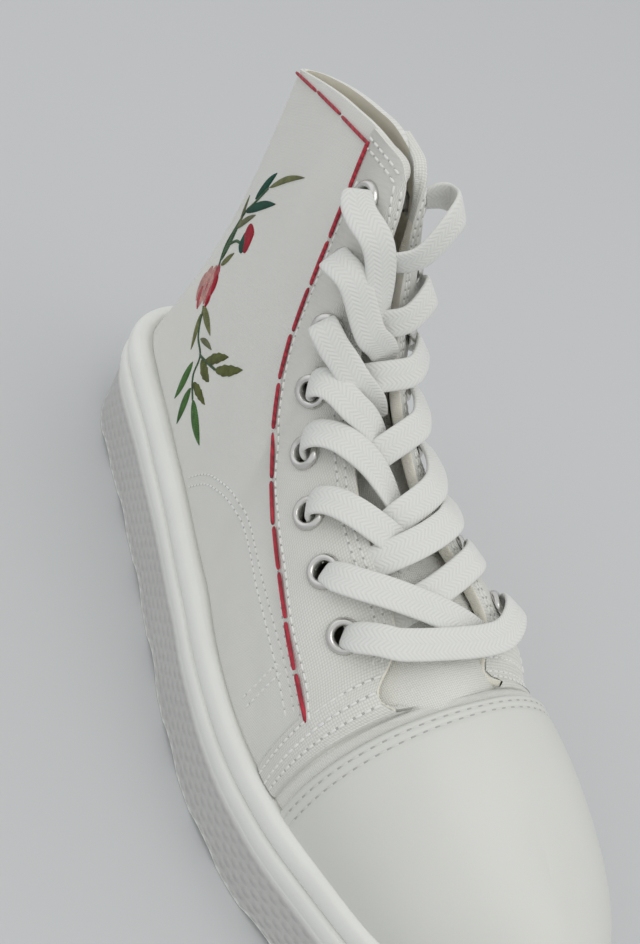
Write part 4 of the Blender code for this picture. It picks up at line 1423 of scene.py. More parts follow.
def carrier_mesh(name, lines):
    """Mesh of open lines whose points carry the outward direction."""
    mesh = bpy.data.meshes.new(name)
    points = np.concatenate([line[0] for line in lines])
    outward = np.concatenate([line[1] for line in lines])
    edges = []
    start = 0
    for line, _ in lines:
        edges += [(start + i, start + i + 1) for i in range(len(line) - 1)]
        start += len(line)
    mesh.from_pydata(points.tolist(), edges, [])
    direction = mesh.attributes.new("outward", "FLOAT_VECTOR", "POINT")
    direction.data.foreach_set("vector", outward.astype(np.float32).ravel())
    carrier = bpy.data.objects.new(name, mesh)
    bpy.context.scene.collection.objects.link(carrier)
    return carrier


def trimmed(line, margin):
    """A line of points and normals without its ends, so that its first and last stitch stay on it."""
    along = arc_lengths(line[0])
    keep = (along >= margin) & (along <= along[-1] - margin)
    return line[0][keep], line[1][keep]


def sew(name, lines, pitch, size, finish, slot, start=None):
    """Stitches of a length, width and height along lines of points and normals, half sunk in the cloth."""
    margin = size[0] / 2 if start is None else start
    carrier = carrier_mesh(name + "_lines", [trimmed(line, margin) for line in lines])
    shape = stitch_shape(finish)
    values = {"Shape": shape, "Pitch": pitch, "Finish": finish}
    values.update(zip(("Length", "Width", "Height"), size))
    piece = run_tree(name, carrier, stitch_tree(), values, finish)
    bpy.data.objects.remove(shape)
    piece.data.shade_smooth()
    dress(piece, slot)


class SNEAKER_OT_eyelets(Operator):
    """Rolled metal eyelets on both eyestays"""

    bl_idname = "sneaker.eyelets"
    bl_label = "Eyelets"

    def execute(self, context):
        ring = np.column_stack([*circle(EYELET_SIDES), np.zeros(EYELET_SIDES)])
        rows = [ring * radius * MM + np.array([0, 0, height * MM]) for radius, height in EYELET_ROWS]
        faces = loop_faces(len(rows), EYELET_SIDES)
        shape = add_mesh("turned_eyelet", eyelet_metal(), np.concatenate(rows), faces)
        carrier = carrier_mesh("eyelet_seats", [(c[None], axis[None]) for c, axis in zip(*eyelet_centres())])
        values = {"Shape": shape, "Finish": eyelet_metal()}
        piece = run_tree("rolled_eyelets", carrier, seat_tree(), values, eyelet_metal())
        bpy.data.objects.remove(shape)
        piece.data.shade_smooth()
        numbers = range(1, EYELET_COUNT + 1)
        nodes = [f"eyelet_{side}_{number}" for side in SIDES for number in numbers]
        dress(piece, "eyelet_metal", *nodes)
        return {"FINISHED"}


# Lace

# One row for each run of lace from its eyelet into the throat, with points in millimetres: across from the
# throat's middle on the eyelet's own side, down the throat from the eyelet, and rise over the eyestay. Roll
# turns the lace on its edge towards its end, in degrees.
LaceRun = namedtuple("LaceRun", "number side roll points")
LACE_RUNS = (
    LaceRun(2, "medial", 0, (
        (23.6, 1, 2.2), (18.5, 4, 3.2), (12, 7, 4.2), (6, 9.4, 4), (0, 11.4, 3), (-6.8, 13, 1.4),
    )),
    LaceRun(2, "lateral", 0, (
        (22.8, 1, 1.6), (20.4, 4, 3.8), (16, 8, 4.6), (9.5, 12, 4.8), (1, 15.6, 4.2), (-6, 18, 2.4),
    )),
    LaceRun(3, "lateral", 0, (
        (21.8, -1, 2), (18.6, -1.2, 4.2), (14.8, 1, 4.8), (11.2, 5.2, 4.6),
        (7.4, 10.6, 3.6), (4, 14.8, 1.4),
    )),
    LaceRun(3, "medial", 0, (
        (22.4, 0.5, 2.4), (17.5, 6, 3.4), (11.5, 11.4, 4.6), (4.5, 15.4, 5.2),
        (-2.4, 17.6, 4.4), (-8.6, 18.6, 1.2),
    )),
    LaceRun(4, "lateral", 45, (
        (20.2, -2.2, 2.2), (16.8, -3.4, 4.4), (12.8, -2.8, 5), (9, -0.6, 4.8),
        (4.8, 5.4, 4), (1.8, 14, 2.2), (-0.4, 22, 0.2),
    )),
    LaceRun(4, "medial", 0, (
        (21, 0, 2.4), (17, 7, 3.2), (12, 14, 4.4), (7, 20, 5), (2, 24, 4.6), (-1.2, 25.8, 3.2),
    )),
    LaceRun(5, "lateral", 40, (
        (17.6, -2, 2.4), (15, -2.6, 4.6), (12, -1.2, 5), (8.8, 1.6, 4.8),
        (5.4, 6.4, 4.2), (2.4, 13, 2.4), (0.6, 18, 0.4),
    )),
    LaceRun(5, "medial", 0, (
        (17.8, 0, 2.6), (14.4, 5.6, 3.6), (10.2, 10.4, 4.6), (6, 14, 5), (2, 17.4, 4.6),
        (-1.4, 19.9, 3),
    )),
    LaceRun(6, "medial", 0, (
        (14.2, 2.4, 3.2), (12.2, 7, 4.6), (8.6, 10, 5.2), (5, 11.3, 4.8),
        (1.2, 12.2, 3.2), (-2.4, 12.8, 1),
    )),
    LaceRun(6, "lateral", 0, (
        (13.8, -4.6, 3.6), (13.2, 0, 5), (11.4, 5, 5), (8.4, 10, 4.4), (5.2, 15, 3), (2.4, 19.4, 0.6),
    )),
    LaceRun(7, "medial", 0, (
        (12.2, 2.4, 3.4), (10.6, 6.4, 4.8), (7.2, 8.8, 5.2), (4, 10, 4.6),
        (1, 10.9, 3.2), (-2.4, 12, 1),
    )),
    LaceRun(7, "lateral", 0, (
        (11.8, -2.4, 4.8), (10.4, 3.2, 6), (8.4, 8.4, 5.6), (5.8, 13.2, 5),
        (2.8, 17.6, 3.8), (-0.4, 21.8, 1.2),
    )),
    LaceRun(8, "medial", 0, (
        (11.4, -1.6, 7.6), (9.8, 2.4, 10.2), (6.8, 6, 10), (3, 9.2, 7.4),
        (-1, 11.8, 4.2), (-4.4, 13.4, 1.2),
    )),
    LaceRun(8, "lateral", 45, (
        (11, -2.4, 3.4), (9.4, 4.6, 4.8), (7.8, 12, 5.2), (5.6, 19.5, 4.4),
        (2.8, 25.5, 2.6), (0, 30, 0),
    )),
)

# The bar over the lowest eyelets, in the same way but with its lateral half on the minus side
BAR_OVER_LATERAL = ((-24.4, 0.6, 3.6), (-19.5, 1.6, 6.0), (-14, 2.6, 6.4), (-6, 4.2, 6.0))
BAR_OVER_MEDIAL = ((6, 5.4, 6.0), (14, 4.4, 5.8), (20, 2.2, 5.4), (24.5, 0.6, 4.2))

# Rise of a lace inside its eyelet and at the eyelet's mouth, and the reach and drop of its hidden end
LACE_INSIDE = -3.4
LACE_MOUTH = 0.6
LACE_HIDDEN = ((0.7, 2.6), (1.3, 5.0))
LACE_SIDES = 20
LACE_SPACING = 0.7
BAR_END = (0.2, 1.8)

# Section of the lace, as powers of a circle's sides, and the share of a run at which it lies flat
LACE_FLATNESS = 0.45
LACE_ROUNDNESS = 0.7
LACE_FLAT_AT = 0.6

# Shares of a run at which its roll starts and over which it grows
ROLL_START = 0.45
ROLL_GROWTH = 0.4


def over_throat(levels, across, lifts):
    """Points over the throat, across from its middle and off the eyestays' faces, and their normals."""
    edges = [on_flap(levels, 1.0, medial, 0.0) for medial in SIDES.values()]
    half = np.linalg.norm(edges[1][0] - edges[0][0], axis=-1) / 2
    share = ((across / half + 1) / 2)[:, None]
    points = edges[0][0] + (edges[1][0] - edges[0][0]) * share
    normals = unit(edges[0][1] + (edges[1][1] - edges[0][1]) * share)
    for medial, sign in ((False, -1.0), (True, 1.0)):
        there = across * sign >= half
        line = on_flap(levels, 0.0, medial, 0.0)[0]
        width = np.linalg.norm(edges[medial][0] - line, axis=-1)
        spots, outward = on_flap(levels, 1 - (np.abs(across) - half) / width, medial, 0.0)
        points[there], normals[there] = spots[there], outward[there]
    normals = unit(eased(normals, passes=60))
    return on_shoe(points + normals * (EYESTAY_FACE + lifts[:, None])), normals


def eyelet_across(number):
    """Distance of an eyelet from the throat's middle, in millimetres."""
    level = EYELET_LENGTHS[number - 1 : number]
    edges = [on_flap(level, 1.0, medial, 0.0)[0] for medial in SIDES.values()]
    line = on_flap(level, 0.0, False, 0.0)[0]
    return (np.linalg.norm(edges[1] - edges[0]) / 2 + np.linalg.norm(edges[0] - line)) / MM


def run_controls(run):
    """Control points of a run, from inside its eyelet to under the lace: across, down and rise."""
    hole = eyelet_across(run.number)
    before, last = np.array(run.points[-2:], float)
    step = last[:2] - before[:2]
    hidden = [(*(last[:2] + step * reach), last[2] - drop) for reach, drop in LACE_HIDDEN]
    return [(hole, 0.0, LACE_INSIDE), (hole, 0.0, LACE_MOUTH), *run.points, *hidden]


def lace_line(controls, number, sign):
    """Centre line of a lace through control points, and the surface normals under it."""
    path = smooth_path(controls, LACE_SPACING)
    levels = EYELET_LENGTHS[number - 1] - path[:, 1] * MM
    points, normals = over_throat(levels, sign * path[:, 0] * MM, path[:, 2] * MM)
    return eased(points, passes=10), normals


def lace_frames(points, normals, flat_at):
    """Sideways directions of a lace that lies flat at one station and bends freely from there."""
    along = unit(np.gradient(points, axis=0))
    sideways = np.zeros_like(points)
    sideways[flat_at] = unit(np.cross(along[flat_at], normals[flat_at]))
    for order in (range(flat_at + 1, len(points)), range(flat_at - 1, -1, -1)):
        for i in order:
            before = i - 1 if i > flat_at else i + 1
            carried = sideways[before] - along[i] * (sideways[before] @ along[i])
            sideways[i] = unit(carried)
    return along, sideways


def lace_strip(points, normals, flat_at, roll, narrow):
    """Points, faces and cloth of a flat lace with rounded edges."""
    along, sideways = lace_frames(points, normals, flat_at)
    travel = arc_lengths(points)
    rolled = np.clip((travel / travel[-1] - ROLL_START) / ROLL_GROWTH, 0, 1)
    turn = np.radians(roll) * rolled**1.5
    upward = np.cross(sideways, along)
    sideways, upward = (
        sideways * np.cos(turn)[:, None] + upward * np.sin(turn)[:, None],
        upward * np.cos(turn)[:, None] - sideways * np.sin(turn)[:, None],
    )
    across, up = circle(LACE_SIDES)
    flat = np.sign(across) * np.abs(across) ** LACE_FLATNESS
    thick = np.sign(up) * np.abs(up) ** LACE_ROUNDNESS
    width = sizes().lace_width / 2 * narrow
    depth = sizes().lace_thickness / 2 * (1 + 0.5 * (1 - narrow))
    rings = (
        points[:, None]
        + sideways[:, None] * flat[None, :, None] * width[:, None, None]
        + upward[:, None] * thick[None, :, None] * depth[:, None, None]
    )
    cloth = weave_map(travel[:, None], flat[None] * (sizes().lace_width / 2))
    faces = [*loop_faces(len(points), LACE_SIDES), *end_faces(len(points), LACE_SIDES)]
    return rings.reshape(-1, 3), faces, cloth


# A lace's least width in an eyelet, and where it starts to widen and how far that takes
PINCH_LEAST = 0.5
PINCH_START = 1.5 * MM
PINCH_REACH = 8.0 * MM


def pinch(points, ends):
    """Share of its width that a lace keeps: it gathers where it passes through an eyelet."""
    travel = arc_lengths(points)
    narrow = np.ones(len(points))
    for at_start in ends:
        away = travel if at_start else travel[-1] - travel
        freed = np.clip((away - PINCH_START) / PINCH_REACH, 0, 1) ** 0.8
        narrow = np.minimum(narrow, PINCH_LEAST + (1 - PINCH_LEAST) * freed)
    return narrow


class SNEAKER_OT_lace(Operator):
    """Flat lace: a bar over the lowest eyelets and a crossing for each further pair"""

    bl_idname = "sneaker.lace"
    bl_label = "Lace"

    def execute(self, context):
        self.make_bar()
        for number in range(2, EYELET_COUNT + 1):
            self.make_crossing(number)
        return {"FINISHED"}

    def add_strips(self, name, strips, node):
        dress(add_mesh(name, lace_cotton(), *joined(strips)), "lace", node)

    def make_bar(self):
        hole = eyelet_across(1)
        near = [(-hole, 0, LACE_INSIDE), (-hole, 0, LACE_MOUTH), *BAR_OVER_LATERAL]
        far = [*BAR_OVER_MEDIAL, (hole, *BAR_END), (hole, 0, LACE_INSIDE)]
        points, normals = lace_line(near + far, 1, 1.0)
        strip = lace_strip(points, normals, len(points) // 2, 0.0, pinch(points, (True, False)))
        self.add_strips("lace_over_toe", [strip], "lace_bar")

    def make_crossing(self, number):
        strips = []
        for run in (run for run in LACE_RUNS if run.number == number):
            sign = 1.0 if run.side == "medial" else -1.0
            points, normals = lace_line(run_controls(run), number, sign)
            flat_at = round(LACE_FLAT_AT * len(points))
            strips.append(lace_strip(points, normals, flat_at, run.roll, pinch(points, (True,))))
        self.add_strips(f"lace_crossing_{number}", strips, f"lace_cross_{number}")


# Seams. Lines are (x, z) millimetres as seen from the side, and lie on both sides of the shoe.

COLLAR_THREAD = ((-112, 149.8), (-95, 155.4), (-75.7, 160.0), (-51.8, 165.2))
QUARTER_CURVE = (
    (-51.5, 41.7), (-44, 51.5), (-36.8, 57.7), (-24, 64.6), (-9.4, 66.4), (9.9, 67.3), (29.1, 65.4), (47, 59),
)
VAMP_TACK = ((30.6, 43.5), (32.8, 62.9))

# Rows of machine stitches, in millimetres: sideways from a line above, and for the quarter's front edge the
# share of the way back and the lift. Rows along the eyestays have a share of the way from the eyelets' line
# to the throat's edge, those round the flap's upper corner a distance inside it, those of the back a place.
THREAD_ROW_BEFORE = 1.7
THREAD_ROW_BEHIND = -2.6
QUARTER_ROWS = (0.0, -3.0)
TACK_ROWS = (0.0, -2.8)
FRONT_ROWS = ((0.18, 1.85), (0.42, 1.85), (0.75, 1.55))
THROAT_ROWS = (0.62, 0.80)
THROAT_ROW_ENDS = (2.0, 136.0)
THROAT_ROW_SPACING = 0.8
CORNER_INSETS = (2.6, 5.0)
CORNER_LENGTH = 17.0 * MM
BACK_PLACE = 0.0035
BACK_TOP = 0.99
BACK_STEPS = 150

# Toe cap's two rows: share of the way from its rear edge, and lift in millimetres
TOE_ROWS = ((0.10, 1.2), (0.21, 1.18))
TOE_ROW_STEPS = 90

# Stitches and the painted shadows of needle holes, where three sizes stand together as length, width and
# height
COLLAR_LIFT = 0.3
THROAT_LIFT = 0.35
COLLAR_STITCH = 20.0 * MM
COLLAR_THINNER = 0.72
RUNNING_HEIGHT = 1.0 * MM
RUNNING_GAP = 0.7 * MM
SEAM_WIDTH = 0.7 * MM
SEAM_HEIGHT = 0.65 * MM
SEAM_HOLE_SHADE = (0.85 * MM, 0.6 * MM, 0.3 * MM)
TOE_PITCH = 3.3 * MM
TOE_STITCH = (2.1 * MM, 0.7 * MM, 0.6 * MM)
TOE_HOLE_SHADE = (1.3 * MM, 0.8 * MM, 0.5 * MM)
TOE_HOLE_SHADE_START = 2.7 * MM


def both_sides(line, lift=0.0):
    """A line of the side laid on the lateral and on the medial side, lifted by millimetres."""
    laid = [lay_on_side(line, medial) for medial in SIDES.values()]
    return [(points + normals * lift * MM, normals) for points, normals in laid]


def beside_throat(share, medial):
    """A line along an eyestay, at a share of the way from the eyelets' line to the throat's edge."""
    lengths = np.arange(*THROAT_ROW_ENDS, THROAT_ROW_SPACING) * MM
    points, normals = on_flap(lengths, share, medial, EYESTAY_FACE)
    return on_shoe(points), normals


def round_corner(inset, medial):
    """A line round the flap's upper corner, millimetres inside its edge: points and normals."""
    places, low = eyestay_places(FACING_STEPS)
    edge = on_shoe(rib_points(places, np.ones((1, 1)))[:, 0])
    foot = on_shoe(rib_points(places, low)[:, 0])
    near = arc_lengths(edge) < CORNER_LENGTH
    climbs = 1 - (1 - low) * (inset * MM / np.linalg.norm(edge - foot, axis=-1))[:, None]
    side = 1 - places[near] if medial else places[near]
    normals = rib_normals(side, climbs[near])
    return on_shoe(rib_points(side, climbs[near]) + normals * EYESTAY_FACE)[:, 0], normals[:, 0]


def down_rib(place, medial, top, count, lift=0.0):
    """A line down one rib, from a climb near its top to the welt: points and normals."""
    place = np.array([1 - place if medial else place])
    climbs = np.linspace(top, climb_above_deck(place, WELT_RISE)[0], count)[None, :]
    normals = rib_normals(place, climbs)
    return on_shoe(rib_points(place, climbs) + normals * lift)[0], normals[0]


def across_cap(share, lift):
    """A line across the toe cap from welt to welt."""
    place = np.array([cap_place(share)])
    low = climb_above_deck(place, WELT_RISE + CAP_LAP)[0]
    climbs = np.linspace(low, 1, TOE_ROW_STEPS)[None, :]
    points, normals = [], []
    for side in (place, 1 - place):
        normal = rib_normals(side, climbs)
        points.append(on_shoe(rib_points(side, climbs) + normal * lift)[0])
        normals.append(normal[0])
    return tuple(np.concatenate([one[0], one[1][-2::-1]]) for one in (points, normals))


class SNEAKER_OT_stitches(Operator):
    """Machine seams in white thread and the long running stitch in coloured thread"""

    bl_idname = "sneaker.stitches"
    bl_label = "Stitches"

    def execute(self, context):
        self.sew_running()
        self.sew_seams()
        self.sew_toe()
        return {"FINISHED"}

    def sew_running(self):
        s = sizes()
        throat = [both_sides(THROAT_THREAD, THROAT_LIFT)[0], both_sides(THROAT_THREAD[:-1], THROAT_LIFT)[1]]
        collar = both_sides(COLLAR_THREAD, COLLAR_LIFT)
        for name, lines, stitch, width in (
            ("collar", collar, COLLAR_STITCH, s.running_width * COLLAR_THINNER),
            ("throat", throat, s.running_stitch, s.running_width),
        ):
            size = (stitch, width, RUNNING_HEIGHT)
            sew(f"running_{name}", lines, stitch + RUNNING_GAP, size, running_thread(), "canvas")

    def sew_seams(self):
        s = sizes()
        sides = SIDES.values()
        seams = both_sides(shifted(THROAT_THREAD[1:], THREAD_ROW_BEFORE))
        seams += both_sides(shifted(THROAT_THREAD[6:], THREAD_ROW_BEHIND))
        seams += [down_rib(BACK_PLACE, medial, BACK_TOP, BACK_STEPS) for medial in sides]
        for distance in QUARTER_ROWS:
            seams += both_sides(shifted(QUARTER_CURVE, distance))
        for share, lift in FRONT_ROWS:
            seams += [down_front(share, lift, medial) for medial in sides]
        for distance in TACK_ROWS:
            seams += both_sides(shifted(VAMP_TACK, distance))
        seams += [beside_throat(share, medial) for share in THROAT_ROWS for medial in sides]
        seams += [round_corner(inset, medial) for inset in CORNER_INSETS for medial in sides]
        size = (s.seam_stitch, SEAM_WIDTH, SEAM_HEIGHT)
        sew("machine_seams", seams, s.seam_pitch, size, seam_thread(), "canvas")
        between = (s.seam_stitch + s.seam_pitch) / 2
        # Painted shadows of the needle holes, between the stitches.
        sew("seam_holes", seams, s.seam_pitch, SEAM_HOLE_SHADE, needle_hole_shade(), "canvas", between)

    def sew_toe(self):
        rows = [across_cap(share, lift * MM) for share, lift in TOE_ROWS]
        sew("toe_seams", rows, TOE_PITCH, TOE_STITCH, coated_toe(), "coated_toe")
        # Painted shadows of the needle holes, between the stitches.
        sew("toe_holes", rows, TOE_PITCH, TOE_HOLE_SHADE, needle_hole_shade(), "coated_toe", TOE_HOLE_SHADE_START)


# Quarter's folded front edge: share of the way back to the throat's corner, and lift in millimetres
FOLDED_EDGE = (
    (-0.09, 0.0), (-0.05, 0.8), (-0.01, 1.45), (0.05, 1.75),
    (0.18, 1.85), (0.42, 1.85), (0.70, 1.65), (0.95, 0.6),
)
FOLDED_STEPS = 60
FOLDED_TOP = 0.995


def front_place(share):
    """Place of a line along the quarter's front edge."""
    front, corner = KNOTS[ROW["throat_turn"]], KNOTS[ROW["throat_corner"]]
    return front + (corner - front) * share


def down_front(share, lift, medial):
    """A line down the quarter's front edge, from the throat to the welt: points and normals."""
    taper = np.linspace(1.0, 0.5, FOLDED_STEPS)[:, None]
    return down_rib(front_place(share), medial, FOLDED_TOP, FOLDED_STEPS, taper * lift * MM)


class SNEAKER_OT_folded_edges(Operator):
    """Front edges of the quarters, folded over the vamp"""

    bl_idname = "sneaker.folded_edges"
    bl_label = "Folded edges"

    def execute(self, context):
        for side, medial in SIDES.items():
            grid = np.stack([down_front(share, lift, medial)[0] for share, lift in FOLDED_EDGE], axis=1)
            sheet = grid_sheet(grid, arc_lengths(grid[:, 3])[:, None], arc_lengths(grid[20]), medial)
            dress(add_mesh(f"quarter_front_{side}", facing_canvas(), *sheet), "canvas")
        return {"FINISHED"}


# Embroidered sprig, in millimetres from the side: base and tip of each leaf, width, bend to its left, thread
Leaf = namedtuple("Leaf", "base_x base_z tip_x tip_z width bend thread")
LEAVES = (
    Leaf(-96.0, 120.8, -74.7, 139.1, 1.7, 1.0, "moss"),
    Leaf(-102.9, 111.7, -95.3, 126.6, 3.0, 0.4, "pine"),
    Leaf(-105.7, 104.8, -85.8, 122.1, 2.5, 0.7, "pine"),
    Leaf(-105.3, 100.4, -110.2, 108.0, 2.0, 0.2, "sage"),
    Leaf(-107.2, 97.0, -96.5, 110.4, 2.0, 0.4, "sage"),
    Leaf(-104.0, 87.0, -106.4, 103.0, 2.4, 0.3, "fern"),
    Leaf(-102.4, 86.3, -97.7, 94.8, 2.0, 0.0, "moss"),
    Leaf(-98.3, 72.7, -82.8, 73.5, 2.8, 0.3, "moss"),
    Leaf(-96.5, 70.8, -90.1, 61.0, 2.4, 0.2, "moss"),
    Leaf(-88.0, 67.6, -77.1, 72.6, 1.8, 0.4, "sage"),
    Leaf(-77.9, 66.9, -63.8, 81.8, 3.4, 0.3, "olive"),
    Leaf(-68.0, 72.7, -52.5, 87.0, 3.4, -0.3, "olive"),
    Leaf(-80.5, 65.3, -67.8, 67.8, 4.0, -0.4, "olive"),
    Leaf(-84.7, 60.7, -82.5, 46.5, 3.6, 0.4, "grass"),
    Leaf(-76.9, 58.7, -62.8, 62.7, 3.2, 0.3, "olive"),
    Leaf(-76.4, 57.0, -73.3, 44.0, 3.8, -0.4, "grass"),
    Leaf(-71.3, 56.6, -54.2, 53.6, 4.2, -0.3, "grass"),
    Leaf(-97.2, 98.0, -93.4, 106.4, 5.6, -0.8, "pine"),
    Leaf(-95.8, 100.2, -90.8, 107.6, 7.8, 0.2, "cherry"),
    Leaf(-95.2, 101.2, -91.4, 107.0, 1.5, 0.4, "rose"),
    Leaf(-109.6, 77.6, -104.6, 69.6, 4.0, -0.2, "blush"),
    Leaf(-107.6, 81.8, -105.0, 73.4, 4.0, -0.3, "blush"),
    Leaf(-106.0, 75.6, -100.8, 69.2, 3.8, -0.2, "rose"),
    Leaf(-104.6, 78.0, -100.8, 70.4, 3.4, -0.2, "blush"),
    Leaf(-104.7, 84.4, -102.4, 77.2, 3.4, -0.3, "blush"),
    Leaf(-103.3, 85.8, -100.4, 79.4, 3.2, 0.2, "rose"),
    Leaf(-100.9, 84.0, -97.4, 77.2, 2.8, 0.3, "cherry"),
    Leaf(-102.5, 79.6, -98.6, 73.0, 3.6, -0.2, "blush"),
    Leaf(-100.2, 80.2, -97.2, 73.6, 3.2, 0.2, "rose"),
    Leaf(-98.2, 78.2, -96.4, 73.6, 1.9, 0.2, "cherry"),
    Leaf(-102.2, 82.8, -100.6, 79.0, 1.6, 0.0, "blush"),
    Leaf(-103.6, 78.4, -101.8, 74.8, 1.2, 0.0, "rose"),
)
STEMS = (
    ((-96.5, 120.4), (-102.3, 110.3), (-105.7, 104.8), (-107.2, 97.0), (-107.1, 90.4), (-103.2, 85.1)),
    ((-97.4, 73.2), (-90.2, 66.9), (-82.6, 65.2), (-79.3, 59.5), (-71.3, 56.6)),
    ((-105.1, 92.3), (-101.0, 97.0), (-95.8, 99.6)),
    ((-82.6, 65.2), (-76.0, 68.4), (-68.0, 72.7)),
)
STEM_WIDTH = 0.95
STEM_SPACING = 0.9
STEM_RISE = 0.3
LEAF_RISE = 0.42
LEAF_STEPS = 17
PATCH_COLUMNS = 7
PATCH_EDGE_RISE = 0.08
THREADS = {
    "pine": (0.004, 0.085, 0.050),
    "fern": (0.085, 0.160, 0.080),
    "sage": (0.200, 0.220, 0.115),
    "moss": (0.225, 0.245, 0.095),
    "olive": (0.140, 0.165, 0.040),
    "grass": (0.085, 0.215, 0.050),
    "cherry": (0.500, 0.010, 0.034),
    "rose": (0.580, 0.110, 0.130),
    "blush": (0.760, 0.410, 0.370),
}


def satin_patch(path, width, lift):
    """Low rounded patch of thread over a path of the side. Width runs along the path, in millimetres."""
    along = unit(np.gradient(path, axis=0))
    left = np.column_stack([-along[:, 1], along[:, 0]])
    shares = np.linspace(-1, 1, PATCH_COLUMNS)
    spots = path[:, None] + left[:, None] * (width[:, None] / 2 * shares[None, :])[..., None]
    points, normals = cast_from_side(spots.reshape(-1, 2) * MM, False)
    fullness = np.clip(width / width.max(), 0.15, 1)[:, None] ** 0.5
    rise = (PATCH_EDGE_RISE + lift * (1 - shares**2) ** 0.6)[None, :] * fullness
    points = points + normals * rise.reshape(-1, 1) * MM
    travel = arc_lengths(path) * MM
    across = width[:, None] / 2 * shares[None, :] * MM
    return grid_sheet(points.reshape(*across.shape, 3), travel[:, None], across)


@lru_cache(maxsize=None)
def satin_thread():
    """Satin-stitched thread: fine ribs aslant over the patch, in the patch's own colour, with painted shade
    between the ribs.
    """
    finish, tree, shader = new_finish("satin_thread", THREADS["fern"], 0.6)
    patch = axes(tree, cloth_map(tree))
    slant = calc(tree, "MULTIPLY_ADD", calc(tree, "ABSOLUTE", patch["Y"]), -1.1, patch["X"])
    rib = ribbed(tree, slant, 1.0 * MM)
    tint = add_node(tree, "ShaderNodeAttribute", {}, attribute_name="tint")["Color"]
    # Painted shade: the thread is drawn darker between its slanting ribs.
    tone = blend(tree, rib, scaled(tree, tint, 0.6), tint)
    tone = blend(tree, soil(tree, 340.0, 1.0), tone, scaled(tree, tone, 0.45))
    shader.inputs["Specular IOR Level"].default_value = 0.2
    tree.links.new(tone, shader.inputs["Base Color"])
    raise_height(tree, shader, rib, 0.18 * MM, 0.7)
    return finish


class SNEAKER_OT_sprig(Operator):
    """Embroidered sprig of leaves, a bud and a blossom on the outer side"""

    bl_idname = "sneaker.sprig"
    bl_label = "Sprig"

    def execute(self, context):
        patches = [(self.make_stem(stem), "fern") for stem in STEMS]
        patches += [(self.make_leaf(leaf), leaf.thread) for leaf in LEAVES]
        tint = [np.tile((*THREADS[thread], 1.0), (len(sheet[0]), 1)) for sheet, thread in patches]
        sheets = joined([sheet for sheet, _ in patches])
        dress(add_mesh("embroidered_sprig", satin_thread(), *sheets, tint=np.concatenate(tint)), "canvas")
        return {"FINISHED"}

    def make_stem(self, stem):
        path = smooth_path(stem, STEM_SPACING)
        return satin_patch(path, np.full(len(path), STEM_WIDTH), STEM_RISE)

    def make_leaf(self, leaf):
        base = np.array([leaf.base_x, leaf.base_z])
        tip = np.array([leaf.tip_x, leaf.tip_z])
        t = np.linspace(0, 1, LEAF_STEPS)
        along = unit(tip - base)
        left = np.array([-along[1], along[0]])
        path = base + (tip - base) * t[:, None] + left * (leaf.bend * np.sin(np.pi * t))[:, None]
        width = 1.2 * leaf.width * np.maximum(np.sin(np.pi * t**0.8) ** 0.75, 0.06)
        if leaf.thread == "olive":
            width *= 0.78 + 0.22 * np.mod(4 * (1 - t), 1.0)
        return satin_patch(path, width, LEAF_RISE)


# Stage

CAMERA_PLACE = (0.17400, -0.16543, 0.30773)
CAMERA_AZIMUTH = math.radians(50.356)
CAMERA_ELEVATION = math.radians(42.685)
CAMERA_ROLL = math.radians(23.219)
CAMERA_LENS = 44.60
FLOOR_REACH = 3.0
LIT_SPOT = (0.0, 0.0, 0.05)
SKY_TONE = (0.985, 0.995, 1.0, 1.0)
SKY_STRENGTH = 0.74


def camera_axes():
    """Right, up and backward directions of the camera."""
    az, el, roll = CAMERA_AZIMUTH, CAMERA_ELEVATION, CAMERA_ROLL
    back = Vector((math.cos(el) * math.sin(az), -math.cos(el) * math.cos(az), math.sin(el)))
    level = Vector((math.cos(az), math.sin(az), 0.0))
    above = Vector((-math.sin(el) * math.sin(az), math.sin(el) * math.cos(az), math.cos(el)))
    right = level * math.cos(roll) + above * math.sin(roll)
    up = above * math.cos(roll) - level * math.sin(roll)
    return right, up, back


def soft_light(name, place, target, size, power, tone):
    """Square lamp that looks at a target."""
    lamp = bpy.data.lights.new(name, "AREA")
    lamp.shape = "SQUARE"
    lamp.size = size
    lamp.energy = power
    lamp.color = tone
    holder = bpy.data.objects.new(name, lamp)
    holder.location = place
    holder.rotation_euler = (Vector(target) - Vector(place)).to_track_quat("-Z", "Y").to_euler()
    bpy.context.scene.collection.objects.link(holder)
    return holder


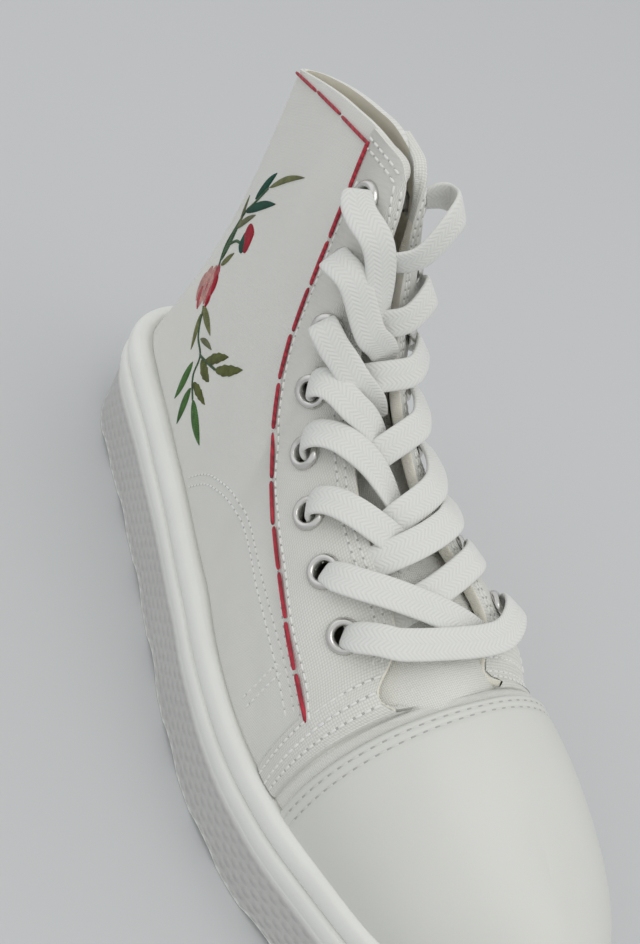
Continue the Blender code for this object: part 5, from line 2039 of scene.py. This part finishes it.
class SNEAKER_OT_stage(Operator):
    """Plain pale floor, soft light and the camera"""

    bl_idname = "sneaker.stage"
    bl_label = "Stage"

    def execute(self, context):
        finish, _, _ = new_finish("pale_floor", colours().floor, 0.8)
        corners = np.array([(-1, -1, 0), (1, -1, 0), (1, 1, 0), (-1, 1, 0)]) * FLOOR_REACH
        floor = add_mesh("floor", finish, corners, [(0, 1, 2, 3)])
        lamps = [
            soft_light("key", (0.55, 0.10, 1.1), LIT_SPOT, 0.9, 3.0, (1.0, 0.985, 0.96)),
            soft_light("fill", (-0.7, -0.6, 0.9), LIT_SPOT, 1.2, 1.0, (0.95, 0.98, 1.0)),
        ]
        world = bpy.data.worlds.new("soft_room")
        world.use_nodes = True
        sky = world.node_tree.nodes["Background"]
        sky.inputs["Color"].default_value = SKY_TONE
        sky.inputs["Strength"].default_value = SKY_STRENGTH
        context.scene.world = world
        context.scene.view_settings.view_transform = "Standard"
        lens = bpy.data.cameras.new("photo_camera")
        lens.lens = CAMERA_LENS
        lens.clip_start = 0.01
        camera = bpy.data.objects.new("photo_camera", lens)
        right, up, back = camera_axes()
        turn = Matrix((right, up, back)).transposed().to_4x4()
        camera.matrix_world = Matrix.Translation(CAMERA_PLACE) @ turn
        context.scene.collection.objects.link(camera)
        context.scene.camera = camera
        return {"FINISHED"}


# Panel and run

PIECES = (
    SNEAKER_OT_stage,
    SNEAKER_OT_sole,
    SNEAKER_OT_upper,
    SNEAKER_OT_insole,
    SNEAKER_OT_toe_cap,
    SNEAKER_OT_eyestays,
    SNEAKER_OT_tongue,
    SNEAKER_OT_eyelets,
    SNEAKER_OT_lace,
    SNEAKER_OT_folded_edges,
    SNEAKER_OT_stitches,
    SNEAKER_OT_sprig,
)


class SNEAKER_PT_pieces(Panel):
    """Lists the shoe's pieces, sizes and colours"""

    bl_idname = "SNEAKER_PT_pieces"
    bl_label = "Sneaker"
    bl_space_type = "VIEW_3D"
    bl_region_type = "UI"
    bl_category = "Sneaker"

    def draw(self, context):
        for piece in PIECES:
            self.layout.operator(piece.bl_idname)
        for group in (context.scene.sneaker_sizes, context.scene.sneaker_colours):
            for name in group.__annotations__:
                self.layout.prop(group, name)


CLASSES = (SneakerSizes, SneakerColours, *PIECES, SNEAKER_PT_pieces)


def register():
    for made in CLASSES:
        bpy.utils.register_class(made)
    bpy.types.Scene.sneaker_sizes = PointerProperty(type=SneakerSizes)
    bpy.types.Scene.sneaker_colours = PointerProperty(type=SneakerColours)


def unregister():
    del bpy.types.Scene.sneaker_colours
    del bpy.types.Scene.sneaker_sizes
    for made in reversed(CLASSES):
        bpy.utils.unregister_class(made)


def main():
    register()
    for piece in PIECES:
        group, name = piece.bl_idname.split(".")
        getattr(getattr(bpy.ops, group), name)()


if __name__ == "__main__":
    main()
